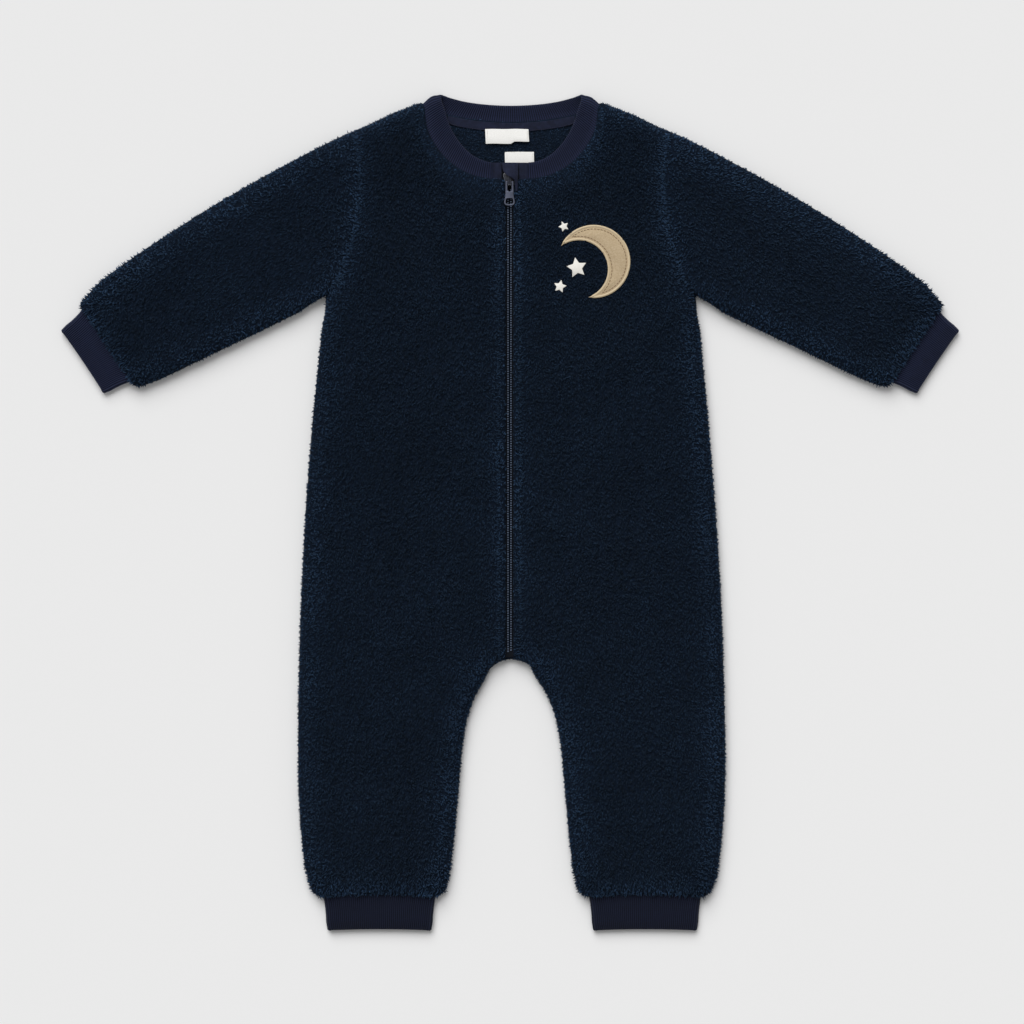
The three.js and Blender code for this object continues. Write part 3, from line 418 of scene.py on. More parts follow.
# Soft troughs and ridges on the upper layer: centre, run and width in mm, depth below zero
creases = [
    {"x": 138, "y": 118, "angle": 62, "run": 46, "width": 9, "rise": -0.9},
    {"x": 124, "y": 168, "angle": 34, "run": 38, "width": 7, "rise": -0.8},
    {"x": 150, "y": 60, "angle": 80, "run": 60, "width": 9, "rise": 0.6},
    {"x": 141, "y": -92, "angle": 101, "run": 74, "width": 12, "rise": -0.6},
    {"x": 60, "y": -142, "angle": 40, "run": 42, "width": 10, "rise": -0.8},
    {"x": 92, "y": -252, "angle": 85, "run": 44, "width": 8, "rise": -0.7},
    {"x": 126, "y": -276, "angle": 97, "run": 26, "width": 5, "rise": -0.9},
    {"x": 104, "y": -288, "angle": 90, "run": 16, "width": 4, "rise": -0.8},
    {"x": 78, "y": -284, "angle": 80, "run": 19, "width": 4.5, "rise": -0.9},
    {"x": 40, "y": 60, "angle": 92, "run": 90, "width": 14, "rise": -0.4},
    {"x": 190, "y": 176, "angle": -22, "run": 40, "width": 7, "rise": -0.7},
    {"x": 246, "y": 172, "angle": -38, "run": 46, "width": 9, "rise": -0.6},
    {"x": 316, "y": 142, "angle": -31, "run": 17, "width": 4, "rise": -0.9},
    {"x": 304, "y": 126, "angle": -36, "run": 15, "width": 4, "rise": -0.7},
    {"x": 325, "y": 160, "angle": -34, "run": 14, "width": 3.5, "rise": -0.7},
    {"x": -134, "y": 126, "angle": 116, "run": 52, "width": 10, "rise": -0.9},
    {"x": -121, "y": 172, "angle": 150, "run": 34, "width": 7, "rise": -0.7},
    {"x": -152, "y": 24, "angle": 97, "run": 68, "width": 10, "rise": 0.6},
    {"x": -146, "y": -118, "angle": 84, "run": 64, "width": 11, "rise": -0.6},
    {"x": -54, "y": -148, "angle": 142, "run": 36, "width": 9, "rise": -0.8},
    {"x": -114, "y": -258, "angle": 93, "run": 40, "width": 8, "rise": -0.7},
    {"x": -84, "y": -282, "angle": 98, "run": 22, "width": 4.5, "rise": -0.9},
    {"x": -109, "y": -290, "angle": 90, "run": 14, "width": 4, "rise": -0.8},
    {"x": -134, "y": -280, "angle": 84, "run": 21, "width": 5, "rise": -0.9},
    {"x": -44, "y": 96, "angle": 86, "run": 84, "width": 13, "rise": -0.4},
    {"x": -198, "y": 170, "angle": 204, "run": 44, "width": 8, "rise": -0.8},
    {"x": -262, "y": 178, "angle": 214, "run": 40, "width": 8, "rise": -0.6},
    {"x": -318, "y": 145, "angle": 212, "run": 16, "width": 4, "rise": -0.9},
    {"x": -303, "y": 124, "angle": 216, "run": 15, "width": 4, "rise": -0.7},
]
ripple = {"height": 0.35, "waves": [(0.031, 0.012, 0.4), (-0.014, 0.027, 1.9), (0.043, -0.022, 4.1)]}


def creaseRise(x, y):
    rise = np.zeros(len(x))
    for crease in creases:
        angle = math.radians(crease["angle"])
        along = (x - crease["x"]) * math.cos(angle) + (y - crease["y"]) * math.sin(angle)
        across = (y - crease["y"]) * math.cos(angle) - (x - crease["x"]) * math.sin(angle)
        across = across + 0.08 * along * np.sin(along / 23 + crease["x"])  # no crease runs quite straight
        rise += crease["rise"] * np.exp(-(along / crease["run"]) ** 2 * 2 - (across / crease["width"]) ** 2 * 2)
    for waveX, waveY, phase in ripple["waves"]:
        rise += ripple["height"] / 3 * np.sin(x * waveX * 2 + y * waveY * 2 + phase)
    return rise


# How far the fleece swells outwards: at its sides, and further over the cuffs at the leg and sleeve hems, in mm
swell = {"sides": 1.9, "zipClear": 16, "neckClear": 84, "neckY": 318, "shoulderX": 67, "shoulderY": 300,
         "underarmX": 151, "underarmY": 168, "underarmClear": 7, "zipX": -1.4}
hems = {"legY": -306.4, "legX": 106.5, "legHalf": 52, "legOver": -0.4, "legArch": 3.4, "sleeveX": 320.4,
        "sleeveY": 135.4, "alongX": 0.829, "alongY": -0.561, "sleeveHalf": 36, "depth": 12, "over": 2.0,
        "wider": 2.0, "legWider": 3.1}
# Unevenness of the laid garment: sleeves a little higher, body a little to the left, one leg to the right, in mm
drift = {"sleeveUp": 1.1, "bodyLeft": 0.7, "legRight": 0.7}


def letSwell(piece):
    places = points(piece)
    normals = np.empty(len(places) * 3, np.float32)
    piece.data.vertices.foreach_get("normal", normals)
    outward = normals.reshape(-1, 3).astype(float)
    outward[:, 2] = 0
    x, y = places[:, 0] / mm, places[:, 1] / mm
    side = np.sign(x)
    free = np.clip((np.abs(x - swell["zipX"]) - swell["zipClear"]) / 6, 0, 1)
    shoulder = np.clip((y - swell["shoulderY"]) / 16, 0, 1) * np.clip((np.abs(x) - swell["shoulderX"]) / 4, 0, 1)
    shoulder *= np.clip(outward[:, 1] * 2, 0, 1)
    free *= np.maximum(np.clip((np.hypot(x, y - swell["neckY"]) - swell["neckClear"]) / 8, 0, 1), shoulder * 2)
    underarm = np.hypot(np.abs(x) - swell["underarmX"], y - swell["underarmY"])
    free *= np.clip((underarm - swell["underarmClear"]) / 14, 0, 1)
    places += outward * (free * swell["sides"] * mm)[:, None]
    leg = np.clip(1 - (y - hems["legY"]) / hems["depth"], 0, 1) ** 2
    legAcross = np.clip((x - side * hems["legX"]) / hems["legHalf"], -1, 1)
    awayX, awayY = np.abs(x) - hems["sleeveX"], y - hems["sleeveY"]
    along = awayX * hems["alongX"] + awayY * hems["alongY"]
    across = np.clip((awayY * hems["alongX"] - awayX * hems["alongY"]) / hems["sleeveHalf"], -1, 1) ** 3
    sleeve = np.clip(1 + along / hems["depth"], 0, 1) ** 2 * (np.abs(x) > 200)
    places[:, 0] += mm * leg * legAcross ** 3 * hems["legWider"]
    places[:, 1] += mm * leg * (hems["legArch"] * (1 - legAcross ** 2) - hems["legOver"])
    places[:, 0] += mm * sleeve * side * (hems["alongX"] * hems["over"] - hems["alongY"] * across * hems["wider"])
    places[:, 1] += mm * sleeve * (hems["alongY"] * hems["over"] + hems["alongX"] * across * hems["wider"])
    places[:, 1] += mm * drift["sleeveUp"] * np.clip((np.abs(x) - 170) / 60, 0, 1)
    body = np.exp(-((y - 60) / 110) ** 2) * np.clip((np.abs(x) - 60) / 60, 0, 1) * np.clip((200 - np.abs(x)) / 20, 0, 1)
    places[:, 0] -= mm * drift["bodyLeft"] * body
    places[:, 0] += mm * drift["legRight"] * np.clip((-130 - y) / 60, 0, 1) * np.clip(x / 20, 0, 1)
    places[:, 2] = np.maximum(places[:, 2], 0)
    setPoints(piece, places)


def shapeUpperLayer(piece, quietFrom):
    # Adds the creases to a piece's upper layer; nothing moves near the zip or the neck.
    places = points(piece)
    x, y, z = places[:, 0] / mm, places[:, 1] / mm, places[:, 2]
    share = np.clip((z - seamHeight) / (topHeight - seamHeight), 0, 1) ** 0.5
    quiet = np.clip((np.abs(x) - quietFrom) / 25, 0, 1)
    neckDistance = np.hypot(x, y - 325)
    quiet = quiet * np.clip((neckDistance - 78) / 25, 0, 1)
    patchDistance = np.hypot(x - 62, y - 204)
    quiet = quiet * np.clip((patchDistance - 42) / 20, 0, 1)
    places[:, 2] = z + creaseRise(x, y) * share * quiet * mm
    setPoints(piece, places)


fleece = {
    "back": {"node": "back_panel", "flat": (0.34, 0.64), "area": 0.178, "restsOn": ["floor"]},
    "front_left": {"node": "front_left_panel", "flat": (0.17, 0.64), "area": 0.086, "restsOn": ["back"]},
    "front_right": {"node": "front_right_panel", "flat": (0.17, 0.64), "area": 0.085, "restsOn": ["back"]},
    "sleeve_left_cloth": {"node": "sleeve_left", "flat": (0.27, 0.24), "area": 0.045, "restsOn": ["floor"]},
    "sleeve_right_cloth": {"node": "sleeve_right", "flat": (0.27, 0.24), "area": 0.045, "restsOn": ["floor"]},
}
fleecePieces = {}
for name, facts in fleece.items():
    piece = copyOfNode(facts["node"], name, materials["ground"], levels=2, grow=0.8 * mm)
    letSwell(piece)
    if name != "back":
        shapeUpperLayer(piece, 14)
    takePlaceOf(piece, [facts["node"]])
    fleecePieces[name] = piece
print("fleece panels shaped")

# Rib pieces: folded double, with real ribs

rib = {"pitch": 1.7, "depth": 0.34, "perRib": 4, "thickness": 1.8, "rows": 7, "foldSteps": 3, "stitch": 1.1}


def foldedRib(name, line, columns, ribs, width, closed, material="rib"):
    # A folded rib strip; line(share) gives its row of points in mm, from 0 at the seam to 1 at the fold.
    edge = rib["thickness"] / 2 / width
    flat = np.linspace(0, 1 - edge, rib["rows"])
    turn = np.linspace(0, math.pi, rib["foldSteps"] + 2)[1:-1]
    section = [(share, 1) for share in flat]
    section += [(1 - edge + edge * math.sin(a), math.cos(a)) for a in turn]
    section += [(share, -1) for share in flat[::-1]]
    wave = np.cos(np.linspace(0, ribs * 2 * math.pi, columns))
    places = []
    for share, side in section:
        here, ahead = line(share), line(share + 0.01)
        along = np.gradient(here, axis=0)
        if closed:
            along[0] = along[-1] = here[1] - here[-2]
        outward = np.cross(along, ahead - here)
        outward /= np.linalg.norm(outward, axis=1)[:, None]
        fade = min(1, 5 * share + 0.2)
        height = side * (rib["thickness"] / 2 + rib["depth"] * wave * fade)
        places.append(here + outward * height[:, None])
    bm = bmesh.new()
    knit = bm.loops.layers.uv.new("ribs")
    bmesh.ops.create_grid(bm, x_segments=columns - 1, y_segments=len(section) - 1, size=1, calc_uvs=True)
    seamRows = [set(), set()]
    for vert in bm.verts:
        column = round((vert.co.x + 1) / 2 * (columns - 1))
        row = round((vert.co.y + 1) / 2 * (len(section) - 1))
        vert.co = places[row][column] * mm
        if row in (0, len(section) - 1):
            seamRows[row > 0].add(vert)
    for face in bm.faces:
        for loop in face.loops:
            loop[knit].uv *= Vector((ribs, 2 * width / rib["stitch"]))
    seamEdges = [edge for edge in bm.edges if any(row.issuperset(edge.verts) for row in seamRows)]
    bmesh.ops.bridge_loops(bm, edges=seamEdges)
    bmesh.ops.remove_doubles(bm, verts=bm.verts, dist=0.01 * mm)
    bmesh.ops.holes_fill(bm, edges=[edge for edge in bm.edges if edge.is_boundary], sides=0)
    bmesh.ops.recalc_face_normals(bm, faces=bm.faces)
    mesh = bpy.data.meshes.new(name)
    bm.to_mesh(mesh)
    bm.free()
    mesh.materials.append(materials[material])
    piece = linkObject(name, mesh)
    smoothShading(piece, 70)
    return piece


neckband = {"left": 12.9, "right": 15.2, "seamY": 267, "freeY": 280.4, "topZ": 8, "foldZ": 4.6, "crown": 2.3,
            "width": 13.5, "samples": 2400}
neckbandRows = [
    {"seamX": 24, "seamY": 268.2, "freeX": 21.5, "freeY": 281.8, "z": 8},
    {"seamX": 36.5, "seamY": 271.9, "freeX": 31, "freeY": 286.4, "z": 8},
    {"seamX": 48.5, "seamY": 279.5, "freeX": 40, "freeY": 295, "z": 8},
    {"seamX": 58.5, "seamY": 290, "freeX": 46.8, "freeY": 305, "z": 8},
    {"seamX": 65.5, "seamY": 302, "freeX": 51, "freeY": 315, "z": 8},
    {"seamX": 69.3, "seamY": 314, "freeX": 53.8, "freeY": 324.2, "z": 7.8},
    {"seamX": 70.8, "seamY": 322.5, "freeX": 55.8, "freeY": 330.4, "z": 6.9},
    {"seamX": 71.4, "seamY": 326.2, "freeX": 55.8, "freeY": 334.6, "z": 4.6},
    {"seamX": 69.4, "seamY": 324.8, "freeX": 53.2, "freeY": 334.5, "z": 2},
    {"seamX": 62, "seamY": 322.3, "freeX": 48.8, "freeY": 333.0, "z": 1.2},
    {"seamX": 45, "seamY": 318, "freeX": 36.5, "freeY": 329.9, "z": 1.2},
    {"seamX": 24, "seamY": 314.6, "freeX": 20, "freeY": 327.7, "z": 1.2},
]


def buildNeckband():
    def endRow(x):
        return {"seamX": x, "seamY": neckband["seamY"], "freeX": x, "freeY": neckband["freeY"], "z": neckband["topZ"]}

    def flipped(row):
        return {**row, "seamX": -row["seamX"], "freeX": -row["freeX"]}

    names = ["seamX", "seamY", "freeX", "freeY", "z"]
    back = {"seamX": 0, "seamY": 313.2, "freeX": 0, "freeY": 326.8, "z": 1.2}
    left = [endRow(neckband["left"]), *neckbandRows]
    right = [flipped(row) for row in reversed([endRow(neckband["right"]), *neckbandRows])]
    rows = [*left, back, *right]
    shares = np.linspace(0, 1, neckband["samples"])
    fine = blendRows(rows, names, shares)
    middle = np.column_stack([(fine[:, 0] + fine[:, 2]) / 2, (fine[:, 1] + fine[:, 3]) / 2, fine[:, 4]])
    travelled = np.concatenate([[0], np.cumsum(np.linalg.norm(np.diff(middle, axis=0), axis=1))])
    ribs = int(travelled[-1] / rib["pitch"])
    columns = ribs * rib["perRib"] + 1
    values = blendRows(rows, names, np.interp(np.linspace(0, travelled[-1], columns), travelled, shares))
    shift = np.array([0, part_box("neckband")[1].y / mm - 334.34, 0])
    seam = np.column_stack([values[:, 0], values[:, 1], values[:, 4]]) + shift
    free = np.column_stack([values[:, 2], values[:, 3], values[:, 4]]) + shift
    nearFold = np.exp(-((values[:, 4] - neckband["foldZ"]) / 2.2) ** 2)

    def line(share):
        row = seam + (free - seam) * share
        row[:, 1] += nearFold * neckband["crown"] * math.sin(math.pi * min(share, 1)) ** 2
        return row

    piece = foldedRib("neckband_rib", line, columns, ribs, neckband["width"], False)
    takePlaceOf(piece, ["neckband"])
    return piece


cuffs = {
    "hand": {"nodes": ["cuff_left", "cuff_right"], "start": (320.4, 135.4), "along": (0.829, -0.561), "first": -2,
             "length": 27.2, "seamHalf": 37.0, "freeHalf": 31.5, "seamHeight": 6.6, "freeHeight": 4.9, "arch": 0.5,
             "aside": -0.9, "up": 0.9, "material": "rib"},
    # the leg cuffs take the rib painted darker, as painted shade
    "leg": {"nodes": ["leg_cuff_left", "leg_cuff_right"], "start": (106.4, -306.5), "along": (0, -1), "first": -6,
            "length": 28.2, "seamHalf": 46.5, "freeHalf": 42.5, "seamHeight": 6.6, "freeHeight": 5.2, "arch": 0.9,
            "aside": 0.8, "up": 0, "material": "ribLegPaintedShade"},
}
cuffShape = {"flare": 2.4, "cornerShare": 0.9, "cornerInset": 2.6, "sideRound": 2.4}


def flattenedRing(halfWidth, height, count):
    # Offsets across and up of points round a flattened tube, evenly spaced, in mm.
    angle = np.linspace(0, 2 * math.pi, 721)
    reach = np.abs(np.cos(angle))
    side = np.sign(np.cos(angle))
    flat = (halfWidth - cuffShape["sideRound"]) * np.interp(reach, [0, 0.9, 1], [0, 1, 1]) * side
    turn = np.interp(reach, [0, 0.9, 1], [0, 0, 1])
    rise = np.sign(np.sin(angle)) * np.sqrt(1 - turn ** 2) * height / 2
    offset = flat + cuffShape["sideRound"] * turn * side
    travelled = np.concatenate([[0], np.cumsum(np.hypot(np.diff(offset), np.diff(rise)))])
    even = np.linspace(0, travelled[-1], count)
    return np.interp(even, travelled, offset), np.interp(even, travelled, rise)


def buildCuff(facts, node, side):
    along = np.array([*facts["along"], 0.0])
    along /= np.linalg.norm(along)
    across = np.array([-along[1], along[0], 0])
    start = np.array([*facts["start"], 0.0]) + [0, 0.134, 0]
    inset = rib["thickness"] / 2
    ribs = int(4 * facts["seamHalf"] / rib["pitch"])
    columns = ribs * rib["perRib"] + 1

    def line(share):
        at = min(share, 1)
        half = facts["freeHalf"] + (facts["seamHalf"] - facts["freeHalf"]) * (1 - at) ** cuffShape["flare"]
        corner = max(0, (at - cuffShape["cornerShare"]) / (1 - cuffShape["cornerShare"]))
        half -= cuffShape["cornerInset"] * (1 - math.sqrt(1 - corner ** 2))
        height = facts["seamHeight"] + (facts["freeHeight"] - facts["seamHeight"]) * at
        offset, rise = flattenedRing(half - inset, height - 2 * inset, columns)
        arch = facts["arch"] * at * ((offset / half) ** 2 - 0.7)
        length = facts["first"] + (facts["length"] - facts["first"]) * share + arch
        ring = start + np.outer(length, along) + np.outer(offset, across)
        ring[:, 2] = rise + height / 2 + rib["depth"]
        if side < 0:
            ring = (ring * [-1, 1, 1])[::-1]
        return ring + [facts["aside"], facts["up"], 0]

    piece = foldedRib(node + "_rib", line, columns, ribs, facts["length"], True, facts["material"])
    takePlaceOf(piece, [node])
    return piece


ribPieces = {"neckband": buildNeckband()}
for facts in cuffs.values():
    for node, side in zip(facts["nodes"], (1, -1)):
        ribPieces[node] = buildCuff(facts, node, side)
print("rib pieces knitted")

# Jersey trims and labels

trims = {
    "neck_tape_cloth": {"node": "neck_tape", "material": "jersey", "slot": "jersey", "levels": 2},
    "zip_guard_cloth": {"node": "zip_guard", "material": "jersey", "slot": "jersey", "levels": 2},
    "zip_facing_left_cloth": {"node": "zip_facing_left", "material": "jersey", "slot": "jersey", "levels": 1},
    "zip_facing_right_cloth": {"node": "zip_facing_right", "material": "jersey", "slot": "jersey", "levels": 1},
    "zip_end_tab_cloth": {"node": "zip_end_tab", "material": "tape", "slot": "zip_tape", "levels": 2},
    "zip_tape_left_cloth": {"node": "zip_tape_left", "material": "tape", "slot": "zip_tape", "levels": 0},
    "zip_tape_right_cloth": {"node": "zip_tape_right", "material": "tape", "slot": "zip_tape", "levels": 0},
    "main_label_cloth": {"node": "main_label", "material": "label", "slot": "label", "levels": 2},
    "size_label_cloth": {"node": "size_label", "material": "label", "slot": "label", "levels": 2},
}
labels = {"lift": 0.9, "low": 294.9, "raise": 0.9, "stretch": 1.12, "wave": 0.3, "stepX": 0.2, "stepUp": 1.7,
          "stitchIn": 1.6, "stitchRadius": 0.14, "tabSink": 1.1, "pipingRadius": 0.4,
          "piping": [(-50, 312.6), (-45, 310.8), (-34, 308.7), (-20, 307.0), (0, 306.2), (20, 307.0), (34, 308.7),
                     (45, 310.8), (50, 312.6)]}


def placeLabels():
    # The neck label laps over the tape, its right part hangs a little shorter, and both labels lie a little wavy
    label = trimPieces["main_label_cloth"]
    places = points(label)
    x, y = places[:, 0] / mm, places[:, 1] / mm
    share = (y - labels["low"]) * labels["stretch"]
    lifted = labels["stepUp"] * np.clip((x - labels["stepX"]) / 1.5, 0, 1) * np.clip(1 - share / 6, 0, 1)
    places[:, 1] = (labels["low"] + labels["raise"] + share + lifted) * mm
    places[:, 2] += labels["lift"] * mm
    setPoints(label, places)
    for name in ("main_label_cloth", "size_label_cloth"):
        places = points(trimPieces[name])
        x, y = places[:, 0] / mm, places[:, 1] / mm
        places[:, 2] += labels["wave"] * (1 + np.sin(x / 3.7 + y / 6)) * mm
        places[:, 1] += 0.3 * labels["wave"] * np.sin(x / 2.9) * mm
        setPoints(trimPieces[name], places)
    tab = trimPieces["zip_end_tab_cloth"]
    places = points(tab)
    places[:, 2] -= labels["tabSink"] * mm  # the end tab goes under the coil
    setPoints(tab, places)


def sewLabels():
    # Lines of stitching across both labels' short ends, and a fine piping along the neck tape's lower edge
    made = {}
    for name in ("main_label_cloth", "size_label_cloth"):
        places = points(trimPieces[name]) / mm
        low, high = places.min(axis=0), places.max(axis=0)
        lines = [[(x, low[1] + 2.4), (x, high[1] - 0.9)] for x in (low[0] + labels["stitchIn"],
                                                                  high[0] - labels["stitchIn"])]
        stitches = threadAlong(name + "_stitches", lines, labels["stitchRadius"], 0.8, materials["whiteThread"], False)
        liftPiece(stitches, (high[2] - 0.15) * mm)
        takePlaceOf(stitches, [])
        made[name] = stitches
    piping = threadAlong("neck_tape_piping", [smoothPath(labels["piping"], 60)], labels["pipingRadius"], 1,
                         materials["jersey"], False)
    liftPiece(piping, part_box("neck_tape")[1].z + 0.4 * mm)
    takePlaceOf(piping, [])
    made["piping"] = piping
    return made


trimPieces = {}
for name, facts in trims.items():
    piece = copyOfNode(facts["node"], name, materials[facts["material"]], facts["levels"], bevel=0.12 * mm)
    takePlaceOf(piece, [facts["node"]])
    trimPieces[name] = piece
placeLabels()
sewn = sewLabels()
print("trims and labels cut")

# Zip: rows of coil, slider and pull

zipper = {"x": -1.4, "pitch": 1.9, "toothDepth": 1.05, "toothWidth": 1.3, "toothHeight": 1.5, "gap": 0.55,
          "sliderY": 261, "belowCoil": 3.4}


def buildTeeth(side, sign):
    low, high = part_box("zip_coil_" + side)
    bm = bmesh.new()
    bmesh.ops.create_cube(bm, size=1)
    bmesh.ops.scale(bm, verts=bm.verts, vec=(zipper["toothWidth"] * mm, zipper["toothDepth"] * mm,
                                            zipper["toothHeight"] * mm))
    bmesh.ops.bevel(bm, geom=bm.edges, offset=0.22 * mm, segments=1, profile=0.5, material=-1, affect="EDGES")
    middleX = zipper["x"] + sign * (zipper["gap"] + zipper["toothWidth"] / 2)
    phase = 0.5 if sign > 0 else 0.0
    startY = low.y - zipper["belowCoil"] * mm
    bmesh.ops.translate(bm, verts=bm.verts, vec=(middleX * mm, startY + phase * zipper["pitch"] * mm,
                                                high.z - (zipper["toothHeight"] / 2 + 0.05) * mm))
    mesh = bpy.data.meshes.new("zip_teeth_" + side)
    bm.to_mesh(mesh)
    bm.free()
    mesh.materials.append(materials["coil"])
    teeth = linkObject("zip_teeth_" + side, mesh)
    rows = teeth.modifiers.new("rows", "ARRAY")
    rows.count = int((zipper["sliderY"] * mm - startY) / (zipper["pitch"] * mm))
    rows.use_relative_offset = False
    rows.use_constant_offset = True
    rows.constant_offset_displace = (0, zipper["pitch"] * mm, 0)
    applyModifiers(teeth)
    smoothShading(teeth, 40)
    takePlaceOf(teeth, ["zip_coil_" + side])
    return teeth


pull = {"thickness": 1.1, "edge": 0.2, "barRadius": 0.45, "slotHalf": 1.65, "rimLow": 0.2, "rimHigh": 0.97,
        "outline": [(1.75, -0.7), (2.5, -0.8), (3.05, -0.4), (3.2, 2), (3.3, 8), (3.4, 11.4), (3.9, 13.6), (4.3, 15.9),
                    (4.1, 17.2), (3.2, 18.3), (1.8, 18.85), (0, 18.95)],
        "slot": [(0, 7.7), (0.9, 7.45), (1.5, 6.7), (1.65, 5.6), (1.65, 2), (1.6, -0.4)],
        "hole": [(0, 12.85), (1.4, 12.95), (2.3, 13.3), (2.75, 14.4), (3.0, 15.7), (2.8, 16.8), (2.0, 17.5), (0, 17.7)]}


def buildPull():
    # A flat cast tab: a fork on its hinge bar, a waist and a finger hole.
    hinge = Vector(frame["joints"][0]["pos_m"])
    outer = smoothPath(pull["outline"], 34)
    inner = smoothPath(pull["slot"], 16)[::-1]
    fork = np.concatenate([outer, (outer * [-1, 1])[::-1][1:], inner * [-1, 1], inner[::-1][1:]])
    hole = smoothPath(pull["hole"], 22)
    ring = np.concatenate([hole, (hole * [-1, 1])[::-1][1:-1]])
    curve = bpy.data.curves.new("zip_pull_tab", "CURVE")
    curve.dimensions = "2D"
    curve.fill_mode = "BOTH"
    curve.extrude = (pull["thickness"] / 2 - pull["edge"]) * mm
    curve.bevel_depth = pull["edge"] * mm
    curve.bevel_resolution = 2
    curve.offset = -pull["edge"] * mm
    for path in (fork, ring):
        spline = curve.splines.new("POLY")
        spline.points.add(len(path) - 1)
        for point, (x, y) in zip(spline.points, path):
            point.co = (x * mm, -y * mm, 0, 1)
        spline.use_cyclic_u = True
    holder = linkObject("zip_pull_tab", curve)
    graph = bpy.context.evaluated_depsgraph_get()
    mesh = bpy.data.meshes.new_from_object(holder.evaluated_get(graph))
    bpy.data.objects.remove(holder)
    bm = bmesh.new()
    bm.from_mesh(mesh)
    bmesh.ops.remove_doubles(bm, verts=bm.verts, dist=0.01 * mm)
    # Sloping rim faces take the bright metal: wear and a painted highlight
    for face in bm.faces:
        face.material_index = int(pull["rimLow"] < abs(face.normal.z) < pull["rimHigh"])
    bar = bmesh.ops.create_cone(bm, cap_ends=True, segments=16, radius1=pull["barRadius"] * mm,
                                radius2=pull["barRadius"] * mm, depth=pull["slotHalf"] * 2.6 * mm)
    bmesh.ops.rotate(bm, verts=bar["verts"], cent=(0, 0, 0), matrix=Matrix.Rotation(math.pi / 2, 3, "Y"))
    bmesh.ops.translate(bm, verts=bm.verts, vec=hinge)
    bm.to_mesh(mesh)
    bm.free()
    mesh.materials.clear()
    mesh.materials.append(materials["metal"])
    mesh.materials.append(materials["metalBright"])
    piece = linkObject("zip_pull_metal", mesh)
    smoothShading(piece, 50)
    takePlaceOf(piece, ["zip_pull"], body="zip_pull")
    return piece


teeth = [buildTeeth("left", 1), buildTeeth("right", -1)]
# The slider's bevelled rim takes the bright metal: wear and a painted highlight
sliderPiece = copyOfNode("zip_slider", "zip_slider_metal", materials["paint"], bevel=0.16 * mm,
                         rimMaterial=materials["metalBright"])
takePlaceOf(sliderPiece, ["zip_slider"])
pullPiece = buildPull()
print("zip fitted")

# Chest patch

moon = {"outer": 29, "inner": 23.5, "shift": 13.5, "tilt": 208, "x": 66, "y": 201.134, "borderInset": 0.7,
        "border": 1.0, "stitchInset": 3.0, "stitchLength": 1.7, "stitchGap": 1.0}


def moonOutline(inset, step):
    # Points round the moon, inset from its edge, in mm.
    outer, inner, shift = moon["outer"] - inset, moon["inner"] + inset, moon["shift"]
    crossing = (outer ** 2 - inner ** 2 + shift ** 2) / (2 * shift)
    outerAngle, innerAngle = math.acos(crossing / outer), math.acos((crossing - shift) / inner)
    outerSteps = int(outer * (2 * math.pi - 2 * outerAngle) / step)
    innerSteps = int(inner * (2 * math.pi - 2 * innerAngle) / step)
    path = [(outer * math.cos(a), outer * math.sin(a)) for a in
            np.linspace(outerAngle, 2 * math.pi - outerAngle, outerSteps, endpoint=False)]
    path += [(shift + inner * math.cos(a), inner * math.sin(a)) for a in
             np.linspace(2 * math.pi - innerAngle, innerAngle, innerSteps, endpoint=False)]
    turn = math.radians(moon["tilt"])
    return [(moon["x"] + x * math.cos(turn) - y * math.sin(turn), moon["y"] + x * math.sin(turn) + y * math.cos(turn))
            for x, y in path]


def buildPatch():
    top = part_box("moon_patch")[1].z
    felt = copyOfNode("moon_patch", "moon_felt", materials["felt"], bevel=0.35 * mm)
    takePlaceOf(felt, ["moon_patch"])
    border = threadAlong("moon_border", [moonOutline(moon["borderInset"], 0.8)], moon["border"], 0.6,
                         materials["satin"], True)
    liftPiece(border, top - 0.1 * mm)
    takePlaceOf(border, [])
    fine = moonOutline(moon["stitchInset"], 0.3)
    stride = round((moon["stitchLength"] + moon["stitchGap"]) / 0.3)
    dash = round(moon["stitchLength"] / 0.3)
    dashes = [fine[i:i + dash + 1] for i in range(0, len(fine) - dash, stride)]
    running = threadAlong("moon_running_stitch", dashes, 0.28, 0.8, materials["brownThread"], False)
    liftPiece(running, top + 0.02 * mm)
    takePlaceOf(running, [])
    made = [felt, border, running]
    for node in ("star_large", "star_middle", "star_small"):
        star = copyOfNode(node, node + "_satin", materials["whiteThread"], bevel=0.4 * mm)
        takePlaceOf(star, [node])
        made.append(star)
    return made


patchPieces = buildPatch()
print("patch sewn on")

# Pile: tufts of fibre all over the fleece

pile = {"length": 3.3, "lengthSpread": 0.14, "radius": 0.52, "radiusSpread": 0.2, "rootDepth": 0.6, "seed": 20,
        "widest": 0.4, "bend": 2.4, "ragged": 0.34, "brush": 0.75, "clump": 0.32, "outward": 1.0, "edgeReach": 11,
        "downSides": 1.7, "shortSides": 0.5, "zipAway": 0.8, "neckAway": 1.1, "hemLonger": 0.3}
rng = np.random.default_rng(pile["seed"])


def trianglesOf(piece):
    mesh = piece.data
    mesh.calc_loop_triangles()
    corners = np.empty(len(mesh.loop_triangles) * 3, np.int32)
    mesh.loop_triangles.foreach_get("vertices", corners)
    return points(piece)[corners.reshape(-1, 3)]


